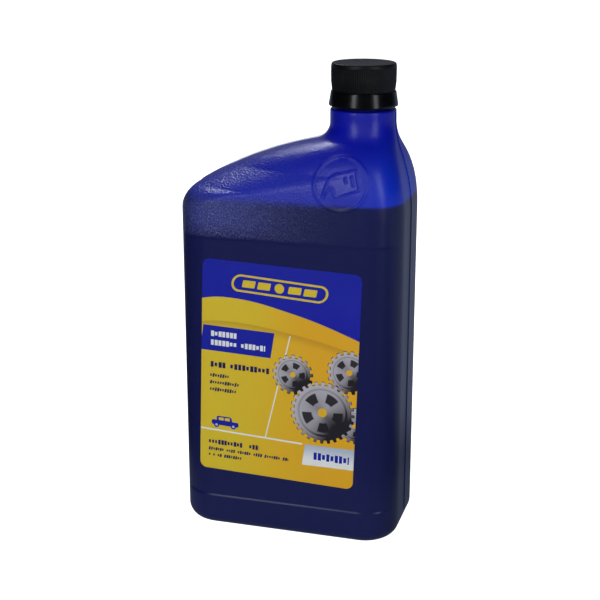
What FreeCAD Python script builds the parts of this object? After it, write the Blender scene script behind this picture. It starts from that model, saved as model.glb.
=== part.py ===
"""Flat blow-moulded quart bottle of motor oil with an offset neck, screw cap, tamper band and two labels.

Millimetres. X runs across the bottle towards the neck's side, Y from front to back, Z up.
The origin is the middle of the base, on the surface that the bottle stands on.
"""

import FreeCAD, Part

import math
import os

import Sketcher
from FreeCAD import Placement, Rotation, Vector

# Driving sizes, each written once: name, value, what it is
SIZES = [
    ("body_width", 108.0, "across the body, flash left out"),
    ("body_depth", 60.0, "front to back"),
    ("corner_radius", 17.0, "upright corners of the body"),
    ("heel_radius", 7.0, "rounding round the foot"),
    ("wall", 1.1, "blown wall"),
    ("left_wall_height", 159.6, "where the left wall starts to bend into the shoulder"),
    ("shoulder_corner_radius", 13.0, "bend from the left wall into the shoulder"),
    ("ridge_low_angle", 31.5, "slope of the shoulder ridge at its left end, degrees"),
    ("ridge_high_angle", 12.0, "slope of the shoulder ridge beside the neck, degrees"),
    ("crown_height", 184.2, "above this the shoulder is round from front to back"),
    ("throat_radius", 8.0, "hollow bend from the ridge up into the neck"),
    ("flank_height", 159.2, "where the right wall starts to lean in"),
    ("face_height", 170.2, "where the front and back faces start to lean in"),
    ("lean_rise", 2.6, "where the leans end, above the throat"),
    ("lean_share", 0.66, "share of a lean's two arcs taken by the lower, bulging one"),
    ("neck_inset", 23.6, "axis of the neck, in from the right side"),
    ("neck_radius", 15.35, "outside of the neck below the finish"),
    ("neck_length", 6.6, "straight neck, from the throat to the ledge"),
    ("ledge_radius", 0.9, "rounding of the ledge's edge"),
    ("collar_height", 2.4, "turned top of the neck, under the ledge"),
    ("collar_step", 0.04, "how much narrower the blown neck is where it meets the collar"),
    ("panel_foot", 16.9, "lower edge of the label panel"),
    ("panel_head", 148.1, "upper edge of the label panel"),
    ("panel_depth", 0.4, "how far the panel lies below the body's surface"),
    ("push_up", 4.0, "rise of the base's hollow"),
    ("push_up_inset", 11.5, "edge of the base's hollow, in from the walls"),
    ("push_up_slope", 8.0, "run of the hollow's sloping sides"),
    ("push_up_radius", 8.0, "upright corners of the hollow"),
    ("flash_width", 1.4, "mould parting line"),
    ("flash_rise", 0.4, "how far the parting line stands up"),
    ("sign_inset", 26.6, "middle of the sign, in from the right side"),
    ("sign_height", 177.1, "middle of the embossed pouring sign"),
    ("sign_radius", 12.5, "outside of the embossed ring"),
    ("sign_line", 1.5, "width of the ring's line"),
    ("sign_rise", 0.45, "how far the sign stands up"),
    ("finish_radius", 12.6, "neck finish, at the root of the thread"),
    ("finish_length", 18.6, "from the ledge to the rim"),
    ("bore_radius", 10.9, "mouth"),
    ("bead_radius", 14.0, "bead that holds the tamper band"),
    ("bead_foot", 4.4, "underside of the bead above the ledge"),
    ("bead_edge", 0.5, "upright edge of the bead"),
    ("bead_slope", 1.2, "sloping top of the bead"),
    ("thread_pitch", 4.2, "one turn of the right-hand thread"),
    ("thread_foot", 9.9, "middle of the neck thread's lower end above the ledge"),
    ("thread_turns", 1.4, "turns of thread on the neck"),
    ("thread_depth", 0.9, "neck thread, root to crest"),
    ("thread_root", 1.7, "width of both threads at the root"),
    ("thread_crest", 0.9, "width of both threads at the crest"),
    ("thread_play", 0.35, "left between a thread's crest and the wall that it faces"),
    ("thread_sink", 0.2, "how far a thread's root reaches into its own wall"),
    ("cap_thread_turns", 1.2, "turns of thread in the cap"),
    ("fill_height", 167.2, "level of the oil"),
    ("fill_gap", 0.15, "left between the oil's solid and the wall"),
    ("seal_thickness", 0.12, "foil across the mouth"),
    ("seat_gap", 0.05, "left between pieces that press on each other"),
    ("liner_thickness", 0.8, "liner disc in the cap"),
    ("liner_play", 0.45, "left round the liner disc"),
    ("cap_radius", 15.1, "cap at its widest"),
    ("cap_bevel", 0.35, "how much narrower the cap is at its head"),
    ("cap_bevel_length", 1.8, "how far down that taper runs"),
    ("cap_taper", 0.5, "how much narrower the cap is at its foot"),
    ("cap_taper_length", 4.5, "how far up that taper runs"),
    ("cap_wall", 1.15, "skirt of the cap at its widest"),
    ("cap_top", 1.25, "top of the cap"),
    ("cap_edge", 0.6, "rounding of the cap's top edge"),
    ("rib_count", 90, "grip grooves round the cap"),
    ("groove_radius", 0.36, "each grip groove"),
    ("groove_depth", 0.16, "each grip groove, in from the cap's widest"),
    ("break_gap", 0.35, "break line between the cap and its band"),
    ("bridge_count", 12, "bridges across the break line"),
    ("bridge_width", 0.8, "each bridge, round the band"),
    ("bridge_depth", 0.45, "each bridge, in from the band's outside"),
    ("band_foot", 1.4, "lower edge of the tamper band above the ledge"),
    ("band_height", 6.6, "tamper band"),
    ("band_radius", 16.05, "flared lower edge of the tamper band"),
    ("band_lip", 0.8, "upright part of that edge"),
    ("band_top_radius", 15.1, "tamper band at the break line"),
    ("band_wall", 0.8, "tamper band at its lower edge"),
    ("band_play", 0.4, "left between the band and the neck"),
    ("catch_thickness", 0.7, "ring in the band that catches under the bead"),
    ("catch_gap", 0.3, "left between that ring and the bead"),
    ("label_width", 77.5, "both labels"),
    ("label_height", 107.0, "both labels"),
    ("label_radius", 3.5, "corners of the labels"),
    ("label_thickness", 0.12, "printed film"),
    ("label_offset", -2.2, "middle of the front label, to the right"),
    ("label_rise", 83.6, "middle of the labels above the base"),
    ("label_tilt", 1.9, "front label, stuck on turned clockwise, degrees"),
]

SECTION_POINTS = 56  # round one level section of the body
ROUNDNESS_WEIGHT = 0.25  # share of those points that go to the corners for their turn alone
ARC_STEPS = 60  # each corner, while its length is measured
STROKE_SHARE = 0.6  # width of the sign's strokes, as a share of its ring's

doc = FreeCAD.newDocument("MotorOilBottle")
sheet = doc.addObject("Spreadsheet::Sheet", "Sizes")
for row, (alias, value, _) in enumerate(SIZES, start=1):
    sheet.set(f"A{row}", str(value))
    sheet.setAlias(f"A{row}", alias)
sheet.set(f"A{len(SIZES) + 1}", "=body_width / 2 - neck_inset")
sheet.setAlias(f"A{len(SIZES) + 1}", "neck_offset")
sheet.set(f"A{len(SIZES) + 2}", "=body_width / 2 - sign_inset")
sheet.setAlias(f"A{len(SIZES) + 2}", "sign_offset")
doc.recompute()


def size(alias):
    """A driving size, as a number."""
    return float(sheet.get(alias))


# Blown body

def ridge_stations():
    """Points up the left side in the middle plane: x, z and the slope there, from the left wall to the neck."""
    low, high = math.radians(size("ridge_low_angle")), math.radians(size("ridge_high_angle"))
    corner, throat = size("shoulder_corner_radius"), size("throat_radius")
    corner_x, corner_z = corner - size("body_width") / 2, size("left_wall_height")
    ridge_x, ridge_z = corner_x - corner * math.sin(low), corner_z + corner * math.cos(low)
    throat_x = size("neck_offset") - size("neck_radius") - throat
    ridge_end_x = throat_x + throat * math.sin(high)
    ridge_radius = (ridge_end_x - ridge_x) / (math.sin(low) - math.sin(high))
    ridge_centre_x, ridge_centre_z = ridge_x + ridge_radius * math.sin(low), ridge_z - ridge_radius * math.cos(low)
    throat_z = ridge_centre_z + (ridge_radius + throat) * math.cos(high)
    upright = math.pi / 2
    stations = []
    for step in range(4):
        slope = upright + (low - upright) * step / 4
        stations.append((corner_x - corner * math.sin(slope), corner_z + corner * math.cos(slope), slope))
    for step in range(5):
        slope = low + (high - low) * step / 5
        x = ridge_centre_x - ridge_radius * math.sin(slope)
        stations.append((x, ridge_centre_z + ridge_radius * math.cos(slope), slope))
    for step in range(5):
        slope = high + (upright - high) * step / 4
        stations.append((throat_x + throat * math.sin(slope), throat_z - throat * math.cos(slope), slope))
    return stations


def throat_top():
    """Height at which the throat ends and the straight neck starts."""
    return ridge_stations()[-1][1]


def ledge_height():
    """Height of the ledge on top of the neck, which carries the finish."""
    return throat_top() + size("neck_length")


def lean(z, start, end, shift):
    """How far a wall has leaned in at height z: a bulging arc, then a hollow one, that meet at a tangent."""
    if z <= start:
        return 0.0
    if z >= end:
        return shift
    slope = 2 * math.atan(shift / (end - start))
    both = (end - start) / math.sin(slope)
    lower = both * size("lean_share")
    upper = both - lower
    if z <= start + lower * math.sin(slope):
        return lower - math.sqrt(lower**2 - (z - start) ** 2)
    return shift - upper + math.sqrt(upper**2 - (end - z) ** 2)


def eased(share):
    """A share from 0 to 1 that starts and ends without a change of curvature."""
    share = min(1.0, max(0.0, share))
    return share**3 * (10 - 15 * share + 6 * share * share)


def level_outline(left, right, half_depth, left_corner, right_corner):
    """Points round one level section. A corner is a quarter ellipse, given as its reach in X and in Y."""
    path = [(right, 0.0, 0.0)]

    def quarter(centre_x, centre_y, reach_x, reach_y, start):
        turn = math.pi / 2 / ARC_STEPS
        for step in range(1, ARC_STEPS + 1):
            angle = start + step * turn
            path.append((centre_x + reach_x * math.cos(angle), centre_y + reach_y * math.sin(angle), turn))

    path.append((right, half_depth - right_corner[1], 0.0))
    quarter(right - right_corner[0], half_depth - right_corner[1], *right_corner, 0.0)
    path.append((left + left_corner[0], half_depth, 0.0))
    quarter(left + left_corner[0], half_depth - left_corner[1], *left_corner, math.pi / 2)
    path.append((left, 0.0, 0.0))
    steps = [math.dist(a[:2], b[:2]) for a, b in zip(path, path[1:])]
    along = [0.0]
    for length, (_, _, turn) in zip(steps, path[1:]):
        along.append(along[-1] + (1 - ROUNDNESS_WEIGHT) * length / sum(steps) + ROUNDNESS_WEIGHT * turn / math.pi)
    half, span = [], 0
    for index in range(SECTION_POINTS // 2 + 1):
        place = index / (SECTION_POINTS / 2)
        while span < len(along) - 2 and along[span + 1] < place:
            span += 1
        width = along[span + 1] - along[span]
        share = min(1.0, max(0.0, (place - along[span]) / width)) if width > 0 else 0.0
        a, b = path[span], path[span + 1]
        half.append((a[0] + share * (b[0] - a[0]), a[1] + share * (b[1] - a[1])))
    return half + [(x, -y) for x, y in reversed(half[1:-1])]


def rounded_rectangle(half_width, half_depth, radius, z):
    """A level rectangle with round corners."""
    straight_x, straight_y = half_width - radius, half_depth - radius
    edges = []
    for quarter in range(4):
        turn = quarter * math.pi / 2
        side_x, side_y = (1, 1, -1, -1)[quarter], (1, 1, -1, -1)[quarter - 1]
        centre = Vector(side_x * straight_x, side_y * straight_y, z)
        bend = [
            centre + Vector(radius * math.cos(angle), radius * math.sin(angle), 0)
            for angle in (turn - math.pi / 2, turn - math.pi / 4, turn)
        ]
        edges.append(bend)
    outline = []
    for bend, after in zip(edges, edges[1:] + edges[:1]):
        outline.append(Part.Arc(*bend).toShape())
        outline.append(Part.LineSegment(bend[2], after[0]).toShape())
    return Part.Wire(outline)


def rounded_prism(inset, low, high, foot_radius=0.0):
    """The plain upright part of the body, moved in by inset, between two heights."""
    half_width, half_depth = size("body_width") / 2 - inset, size("body_depth") / 2 - inset
    outline = rounded_rectangle(half_width, half_depth, size("corner_radius") - inset, low)
    prism = Part.Face(outline).extrude(Vector(0, 0, high - low))
    if foot_radius:
        prism = prism.makeFillet(foot_radius, [edge for edge in prism.Edges if edge.BoundBox.ZMax < low + 0.01])
    return prism


def shoulder(into_wall):
    """The shoulder and neck, from the label panel to the turned collar, as a loft through level sections."""
    half_width, half_depth = size("body_width") / 2, size("body_depth") / 2
    bend, top, collar = size("left_wall_height"), throat_top(), ledge_height() - size("collar_height")
    upright = math.pi / 2
    start, lean_end = size("panel_head") + into_wall, top + size("lean_rise")
    rows = [(-half_width, start + share * (bend - start), upright) for share in (0.0, 0.3, 0.6)]
    rows += ridge_stations()
    neck_left = size("neck_offset") - size("neck_radius")
    rows += [(neck_left, (top + collar) / 2, upright), (neck_left, collar, upright)]
    wires = []
    for ridge_x, z, slope in rows:
        inset = into_wall + (size("collar_step") if z == collar else 0.0)
        flank = lean(z, size("flank_height"), lean_end, half_width - size("neck_offset") - size("neck_radius"))
        right = half_width - flank - inset
        face = lean(z, size("face_height"), lean_end, half_depth - size("neck_radius"))
        depth = half_depth - face - inset
        left = ridge_x + inset / math.sin(slope)
        rise = min(1.0, max(0.0, (z - bend) / (top - bend)))
        plain = size("corner_radius") + (size("neck_radius") - size("corner_radius")) * rise - inset
        plain = min(plain, depth)
        crowned = plain + (depth - plain) * eased((z - bend) / (size("crown_height") - bend))
        left_reach = min(crowned / math.sin(slope), right - left - plain)
        outline = level_outline(left, right, depth, (left_reach, crowned), (plain, plain))
        points = [Vector(x, y, z) for x, y in outline]
        curve = Part.BSplineCurve()
        knots = [index / len(points) for index in range(len(points) + 1)]
        curve.interpolate(Points=points, PeriodicFlag=True, Parameters=knots)
        wires.append(Part.Wire([curve.toShape()]))
    return Part.makeLoft(wires, True, False, False, 5)


def body_form(inset):
    """The whole blown body, moved in by inset, or out where that is negative."""
    low, high, foot = size("panel_foot") - inset, size("panel_head") + inset, max(inset, 0.0)
    heel = rounded_prism(inset, foot, low, size("heel_radius") - foot)
    panel = rounded_prism(inset + size("panel_depth"), low, high)
    return heel.multiFuse([panel, shoulder(inset)])


def base_hollow(lift):
    """The hollow pushed up into the base, moved up by lift."""
    outlines = []
    for inset, rise in (
        (size("push_up_inset"), 0.0),
        (size("push_up_inset") + size("push_up_slope"), size("push_up")),
    ):
        half_width, half_depth = size("body_width") / 2 - inset, size("body_depth") / 2 - inset
        outlines.append(rounded_rectangle(half_width, half_depth, size("push_up_radius"), rise + lift))
    return Part.makeLoft(outlines, True, True)


def sign_stroke(start, end, width):
    """A straight stroke of the sign with round ends, as a bar that runs through the front wall. Units: sign radii."""
    scale, middle = size("sign_radius"), Vector(size("sign_offset"), -size("body_depth"), size("sign_height"))
    a = middle + Vector(start[0] * scale, 0, start[1] * scale)
    b = middle + Vector(end[0] * scale, 0, end[1] * scale)
    length, reach = (b - a).Length, size("body_depth")
    ends = [Part.makeCylinder(width / 2, reach, point, Vector(0, 1, 0)) for point in (a, b)]
    bar = Part.makeBox(length, reach, width, Vector(0, 0, -width / 2))
    angle = math.degrees(math.atan2(b.z - a.z, b.x - a.x))
    bar.Placement = Placement(a, Rotation(Vector(0, -1, 0), angle))
    return ends[0].multiFuse([ends[1], bar])


# The pouring sign inside the ring, in ring radii from its middle: a tipped can that drips from its spout
CAN_OUTLINE = [(-0.23, 0.33), (0.50, 0.52), (0.68, -0.16), (-0.05, -0.41), (-0.17, -0.44), (-0.35, -0.08)]
SPOUT = [(-0.23, 0.33), (-0.43, 0.19), (-0.52, -0.08), (-0.65, -0.50)]
LIP = [(-0.35, -0.08), (-0.60, -0.50)]
GRIP = [(0.36, 0.30), (0.46, -0.04)]
GRIP_SIDE = [(0.14, 0.24), (0.18, 0.08)]


def sign_bars():
    """The sign's ring and strokes as bars through the front wall."""
    middle = Vector(size("sign_offset"), -size("body_depth"), size("sign_height"))
    reach, forward = size("body_depth"), Vector(0, 1, 0)
    ring = Part.makeCylinder(size("sign_radius"), reach, middle, forward)
    ring = ring.cut(Part.makeCylinder(size("sign_radius") - size("sign_line"), reach, middle, forward))
    strokes = []
    for line in (CAN_OUTLINE, SPOUT, LIP, GRIP, GRIP_SIDE):
        strokes += [sign_stroke(a, b, STROKE_SHARE * size("sign_line")) for a, b in zip(line, line[1:])]
    return ring.multiFuse(strokes)


def flash():
    """The mould's parting line: a thin raised line round the body in its middle plane."""
    width, low = size("flash_width"), size("heel_radius")
    slab = Part.makeBox(
        2 * size("body_width"), width, ledge_height() - size("collar_height") - low,
        Vector(-size("body_width"), -width / 2, low),
    )
    return body_form(-size("flash_rise")).common(slab)


def feature(name, shape):
    """A document object that holds a computed shape."""
    made = doc.addObject("Part::Feature", name)
    made.Shape = shape
    return made


# Drawing with the sheet's values

def origin_plane(body, role):
    """One of a body's own origin planes."""
    return next(item for item in body.Origin.OriginFeatures if item.Role == role)


def draw_outline(sketch, corners):
    """Fill a sketch with a closed outline of straight edges. A corner is two expressions of the sizes."""
    points = [Vector(*(float(sketch.evalExpression(term)) for term in corner), 0) for corner in corners]
    for start, end in zip(points, points[1:] + points[:1]):
        sketch.addGeometry(Part.LineSegment(start, end), False)
    for index, (corner, point) in enumerate(zip(corners, points)):
        last = index - 1 if index else len(points) - 1
        sketch.addConstraint(Sketcher.Constraint("Coincident", last, 2, index, 1))
        for kind, term, value in zip(("DistanceX", "DistanceY"), corner, (point.x, point.y)):
            place = sketch.addConstraint(Sketcher.Constraint(kind, -1, 1, index, 1, value))
            sketch.setExpression(f"Constraints[{place}]", term)


def body_sketch(body, name, plane, height=None):
    """An empty sketch on one of a body's planes, raised above it by an expression."""
    sketch = body.newObject("Sketcher::SketchObject", name)
    sketch.AttachmentSupport = (origin_plane(body, plane), [""])
    sketch.MapMode = "FlatFace"
    if height:
        sketch.setExpression("AttachmentOffset.Base.z", height)
    sketch.Visibility = False
    return sketch


def neck_placed(made, height="0"):
    """Stand an object on the neck's axis, its origin at a height above the ledge."""
    made.setExpression("Placement.Base.x", "Sizes.neck_offset")
    made.setExpression("Placement.Base.z", f"Sizes.ledge_height + {height}")
    return made


def turned(label, corners):
    """A body round the neck's axis, from an outline of radii and of heights above the ledge."""
    body = neck_placed(doc.addObject("PartDesign::Body", label))
    sketch = body_sketch(body, label + "_outline", "XZ_Plane")
    draw_outline(sketch, corners)
    solid = body.newObject("PartDesign::Revolution", label + "_turned")
    solid.Profile = sketch
    solid.ReferenceAxis = (sketch, ["V_Axis"])
    solid.Angle = 360
    return body


def rounded_ring(body, name, radius, height, rounding):
    """Round the edge that runs round a turned body at this radius and height above the ledge."""
    doc.recompute()
    base = body.Tip
    edges = []
    for index, edge in enumerate(base.Shape.Edges, start=1):
        start = edge.Vertexes[0]
        round_edge = edge.Curve.TypeId == "Part::GeomCircle" and edge.Length > radius
        if round_edge and math.isclose(start.Z, height, abs_tol=0.01):
            if math.isclose(math.hypot(start.X, start.Y), radius, abs_tol=0.01):
                edges.append(f"Edge{index}")
    fillet = body.newObject("PartDesign::Fillet", name)
    fillet.Base = (base, edges)
    fillet.setExpression("Radius", rounding)


def repeated_round(body, feature_made, sketch, count):
    """Repeat a body's last feature round its Z axis."""
    pattern = body.newObject("PartDesign::PolarPattern", feature_made.Name + "_ring")
    pattern.Originals = [feature_made]
    pattern.Axis = (sketch, ["N_Axis"])
    pattern.Angle = 360
    pattern.setExpression("Occurrences", count)
    body.Tip = pattern


def helical_ridge(name, root, crest, foot, turns):
    """A right-hand thread ridge round the neck's axis, between two radii, from the height of its lower end."""
    spine = neck_placed(doc.addObject("Part::Helix", name + "_spine"), foot)
    spine.setExpression("Pitch", "Sizes.thread_pitch")
    spine.setExpression("Height", f"Sizes.thread_pitch * {turns}")
    spine.setExpression("Radius", root)
    section = neck_placed(doc.addObject("Sketcher::SketchObject", name + "_section"), foot)
    section.Placement = Placement(section.Placement.Base, Rotation(Vector(1, 0, 0), 90))
    draw_outline(section, [
        (root, "-Sizes.thread_root / 2"),
        (crest, "-Sizes.thread_crest / 2"),
        (crest, "Sizes.thread_crest / 2"),
        (root, "Sizes.thread_root / 2"),
    ])
    ridge = doc.addObject("Part::Sweep", name)
    ridge.Sections = [section]
    ridge.Spine = (spine, [])
    ridge.Solid = True
    ridge.Frenet = True
    return ridge


# Heights above the ledge
RIM = "Sizes.finish_length"
SEAL_TOP = f"{RIM} + Sizes.seal_thickness"
LINER_FOOT = f"{SEAL_TOP} + Sizes.seat_gap"
LINER_TOP = f"{LINER_FOOT} + Sizes.liner_thickness"
CAP_CEILING = f"{LINER_TOP} + Sizes.seat_gap"
CAP_HEAD = f"{CAP_CEILING} + Sizes.cap_top"
BAND_HEAD = "Sizes.band_foot + Sizes.band_height"
CAP_FOOT = f"{BAND_HEAD} + Sizes.break_gap"
CATCH_TOP = "Sizes.bead_foot - Sizes.catch_gap"
CAP_BORE = "Sizes.cap_radius - Sizes.cap_wall"


# Bottle: the blown body with its neck finish, hollowed by one cavity

def blown_solid():
    """The outside of the body as a solid, with its parting line, its sign and its pushed-up base."""
    sign = sign_bars().common(shoulder(-size("sign_rise")))
    return body_form(0.0).fuse(flash()).fuse(sign).cut(base_hollow(0.0))


def cavity_solid(inset):
    """The space inside the body, that far in from its outside."""
    return body_form(inset).cut(base_hollow(inset))


def neck_finish():
    """The rim, the thread's cylinder, the bead and the collar, solid."""
    finish = turned("neck_finish", [
        ("0", "-Sizes.collar_height"),
        ("Sizes.neck_radius", "-Sizes.collar_height"),
        ("Sizes.neck_radius", "0"),
        ("Sizes.finish_radius", "0"),
        ("Sizes.finish_radius", "Sizes.bead_foot"),
        ("Sizes.bead_radius", "Sizes.bead_foot"),
        ("Sizes.bead_radius", "Sizes.bead_foot + Sizes.bead_edge"),
        ("Sizes.finish_radius", "Sizes.bead_foot + Sizes.bead_edge + Sizes.bead_slope"),
        ("Sizes.finish_radius", RIM),
        ("0", RIM),
    ])
    rounded_ring(finish, "ledge_edge", size("neck_radius"), 0.0, "Sizes.ledge_radius")
    return finish


def bottle():
    """The bottle: everything outside, less the cavity and the mouth."""
    thread = helical_ridge(
        "neck_thread",
        "Sizes.finish_radius - Sizes.thread_sink",
        "Sizes.finish_radius + Sizes.thread_depth",
        "Sizes.thread_foot",
        "Sizes.thread_turns",
    )
    outside = doc.addObject("Part::MultiFuse", "outside")
    outside.Shapes = [feature("blown_body", blown_solid()), neck_finish(), thread]
    mouth = neck_placed(doc.addObject("Part::Cylinder", "mouth"), "(-2 * Sizes.wall)")
    mouth.setExpression("Radius", "Sizes.bore_radius")
    mouth.setExpression("Height", f"{RIM} + 3 * Sizes.wall")
    throat = neck_placed(doc.addObject("Part::Cylinder", "throat"), "(-Sizes.collar_height)")
    throat.setExpression("Radius", "Sizes.neck_radius - Sizes.wall")
    throat.setExpression("Height", "Sizes.collar_height - Sizes.wall")
    hollow = doc.addObject("Part::MultiFuse", "hollow")
    hollow.Shapes = [feature("cavity", cavity_solid(size("wall"))), throat, mouth]
    made = doc.addObject("Part::Cut", "bottle")
    made.Base, made.Tool = outside, hollow
    return made


def motor_oil():
    """The filling, up to its level."""
    below = doc.addObject("Part::Box", "below_level")
    below.setExpression("Length", "2 * Sizes.body_width")
    below.setExpression("Width", "2 * Sizes.body_depth")
    below.setExpression("Height", "Sizes.fill_height")
    below.setExpression("Placement.Base.x", "-Sizes.body_width")
    below.setExpression("Placement.Base.y", "-Sizes.body_depth")
    made = doc.addObject("Part::Common", "motor_oil")
    made.Base = feature("oil_space", cavity_solid(size("wall") + size("fill_gap")))
    made.Tool = below
    return made


# Closure

def foil_seal():
    """The foil welded across the rim."""
    return turned("foil_seal", [
        ("0", RIM), ("Sizes.finish_radius", RIM), ("Sizes.finish_radius", SEAL_TOP), ("0", SEAL_TOP),
    ])


def cap_liner():
    """The foam disc in the cap."""
    radius = f"{CAP_BORE} - Sizes.liner_play"
    return turned("cap_liner", [("0", LINER_FOOT), (radius, LINER_FOOT), (radius, LINER_TOP), ("0", LINER_TOP)])


def cap():
    """The screw cap: a tapered skirt with grip grooves, and its thread."""
    shell = turned("cap_shell", [
        ("0", CAP_CEILING),
        (CAP_BORE, CAP_CEILING),
        (CAP_BORE, CAP_FOOT),
        ("Sizes.cap_radius - Sizes.cap_taper", CAP_FOOT),
        ("Sizes.cap_radius", f"{CAP_FOOT} + Sizes.cap_taper_length"),
        ("Sizes.cap_radius", f"{CAP_HEAD} - Sizes.cap_bevel_length"),
        ("Sizes.cap_radius - Sizes.cap_bevel", CAP_HEAD),
        ("0", CAP_HEAD),
    ])
    head = float(shell.evalExpression(CAP_HEAD))
    rounded_ring(shell, "cap_top_edge", size("cap_radius") - size("cap_bevel"), head, "Sizes.cap_edge")
    section = body_sketch(shell, "groove_section", "XY_Plane", CAP_FOOT)
    centre = size("cap_radius") - size("groove_depth") + size("groove_radius")
    section.addGeometry(Part.Circle(Vector(centre, 0, 0), Vector(0, 0, 1), size("groove_radius")), False)
    section.addConstraint(Sketcher.Constraint("PointOnObject", 0, 3, -1))
    section.addConstraint(Sketcher.Constraint("DistanceX", -1, 1, 0, 3, centre))
    section.setExpression("Constraints[1]", "Sizes.cap_radius - Sizes.groove_depth + Sizes.groove_radius")
    section.addConstraint(Sketcher.Constraint("Radius", 0, size("groove_radius")))
    section.setExpression("Constraints[2]", "Sizes.groove_radius")
    groove = shell.newObject("PartDesign::Pocket", "groove")
    groove.Profile = section
    groove.Reversed = True
    groove.setExpression("Length", f"{CAP_HEAD} - ({CAP_FOOT}) - Sizes.cap_top")
    repeated_round(shell, groove, section, "Sizes.rib_count")
    thread = helical_ridge(
        "cap_thread",
        f"{CAP_BORE} + Sizes.thread_sink",
        "Sizes.finish_radius + Sizes.thread_play",
        "Sizes.thread_foot + Sizes.thread_pitch / 2",
        "Sizes.cap_thread_turns",
    )
    made = doc.addObject("Part::Fuse", "cap")
    made.Base, made.Tool = shell, thread
    return made


def tamper_band():
    """The band left on the neck, with its catch under the bead and the bridges that the cap tears from."""
    band = turned("tamper_band", [
        ("Sizes.band_radius - Sizes.band_wall", "Sizes.band_foot"),
        ("Sizes.band_radius", "Sizes.band_foot"),
        ("Sizes.band_radius", "Sizes.band_foot + Sizes.band_lip"),
        ("Sizes.band_top_radius", BAND_HEAD),
        ("Sizes.bead_radius + Sizes.band_play", BAND_HEAD),
        ("Sizes.bead_radius + Sizes.band_play", CATCH_TOP),
        ("Sizes.finish_radius + Sizes.band_play", CATCH_TOP),
        ("Sizes.finish_radius + Sizes.band_play", f"{CATCH_TOP} - Sizes.catch_thickness"),
    ])
    section = body_sketch(band, "bridge_section", "XY_Plane", BAND_HEAD)
    inner, outer = "Sizes.band_top_radius - Sizes.bridge_depth", "Sizes.band_top_radius"
    draw_outline(section, [
        (inner, "-Sizes.bridge_width / 2"), (outer, "-Sizes.bridge_width / 2"),
        (outer, "Sizes.bridge_width / 2"), (inner, "Sizes.bridge_width / 2"),
    ])
    bridge = band.newObject("PartDesign::Pad", "bridge")
    bridge.Profile = section
    bridge.setExpression("Length", "Sizes.break_gap - Sizes.seat_gap")
    doc.recompute()
    repeated_round(band, bridge, section, "Sizes.bridge_count")
    return band


# Labels

def label(name, offset, turn):
    """A printed film with rounded corners, flat on the panel. turn is 0 for the front and 180 for the back."""
    body = doc.addObject("PartDesign::Body", name)
    side = -1 if turn == 0 else 1
    body.Placement = Placement(Vector(), Rotation(Vector(0, 0, 1), turn))
    body.setExpression("Placement.Base.x", offset)
    body.setExpression("Placement.Base.y", f"{side} * (Sizes.body_depth / 2 - Sizes.panel_depth)")
    body.setExpression("Placement.Base.z", "Sizes.label_rise")
    across, up = "Sizes.label_width / 2", "Sizes.label_height / 2"
    sketch = body_sketch(body, name + "_outline", "XZ_Plane")
    draw_outline(sketch, [(f"-{across}", f"-{up}"), (across, f"-{up}"), (across, up), (f"-{across}", up)])
    film = body.newObject("PartDesign::Pad", name + "_film")
    film.Profile = sketch
    film.setExpression("Length", "Sizes.label_thickness")
    doc.recompute()
    corners = [
        f"Edge{index}" for index, edge in enumerate(film.Shape.Edges, start=1)
        if edge.Length < 2 * size("label_thickness")
    ]
    rounding = body.newObject("PartDesign::Fillet", name + "_corners")
    rounding.Base = (film, corners)
    rounding.setExpression("Radius", "Sizes.label_radius")
    return body


def front_label():
    """The front label, stuck on a little turned."""
    body = label("front_label", "Sizes.label_offset", 0)
    body.Placement = Placement(body.Placement.Base, Rotation(Vector(0, 1, 0), size("label_tilt")))
    body.setExpression("Placement.Rotation.Angle", "Sizes.label_tilt * 1 deg")
    return body


sheet.set(f"A{len(SIZES) + 3}", str(ledge_height()))
sheet.setAlias(f"A{len(SIZES) + 3}", "ledge_height")
doc.recompute()

NODES = [
    bottle(), motor_oil(), foil_seal(), cap_liner(), cap(), tamper_band(),
    front_label(), label("back_label", "0", 180),
]
doc.recompute()

for item in doc.Objects:
    if {"Invalid", "Error"} & set(item.State):
        raise RuntimeError(f"{item.Label} failed: {item.State}")
os.makedirs("parts", exist_ok=True)
for node in NODES:
    if node.Shape.isNull() or not node.Shape.isValid() or not node.Shape.Solids:
        raise RuntimeError(f"{node.Label} has no valid solid")
    print(f"{node.Label}: {len(node.Shape.Solids)} solid, {node.Shape.Volume / 1000:.2f} ml")
for node in NODES:
    node.Shape.exportStep(f"parts/{node.Label}.step")
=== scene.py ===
"""A flat blow-moulded bottle of motor oil: its visual model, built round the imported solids."""

import bisect
import logging
import math
from dataclasses import dataclass, field
from enum import Enum

import bmesh
import bpy
from mathutils import Matrix, Vector


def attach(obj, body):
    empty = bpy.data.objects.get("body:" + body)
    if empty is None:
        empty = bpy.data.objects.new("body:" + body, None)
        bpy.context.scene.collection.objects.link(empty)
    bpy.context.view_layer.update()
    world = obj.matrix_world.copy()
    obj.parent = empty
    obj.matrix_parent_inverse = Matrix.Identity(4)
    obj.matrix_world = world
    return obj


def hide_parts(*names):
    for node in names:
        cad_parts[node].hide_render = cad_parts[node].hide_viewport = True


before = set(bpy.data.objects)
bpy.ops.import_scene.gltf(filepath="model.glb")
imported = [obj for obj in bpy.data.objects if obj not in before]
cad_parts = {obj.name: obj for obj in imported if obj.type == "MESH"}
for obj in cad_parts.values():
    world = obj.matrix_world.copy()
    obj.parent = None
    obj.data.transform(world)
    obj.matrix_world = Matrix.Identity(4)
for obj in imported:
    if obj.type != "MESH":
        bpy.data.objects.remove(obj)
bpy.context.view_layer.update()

LOG = logging.getLogger("motor_oil_bottle")
MM = 0.001
ORIGIN = (0.0, 0.0, 0.0)
WHITE = (1.0, 1.0, 1.0, 1.0)

Colour = tuple[float, float, float, float]
Socket = bpy.types.NodeSocket
Value = object  # a node socket, or a number or colour for one
Line = tuple[tuple[float, float], ...]
Points = list[tuple[float, float]]


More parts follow.
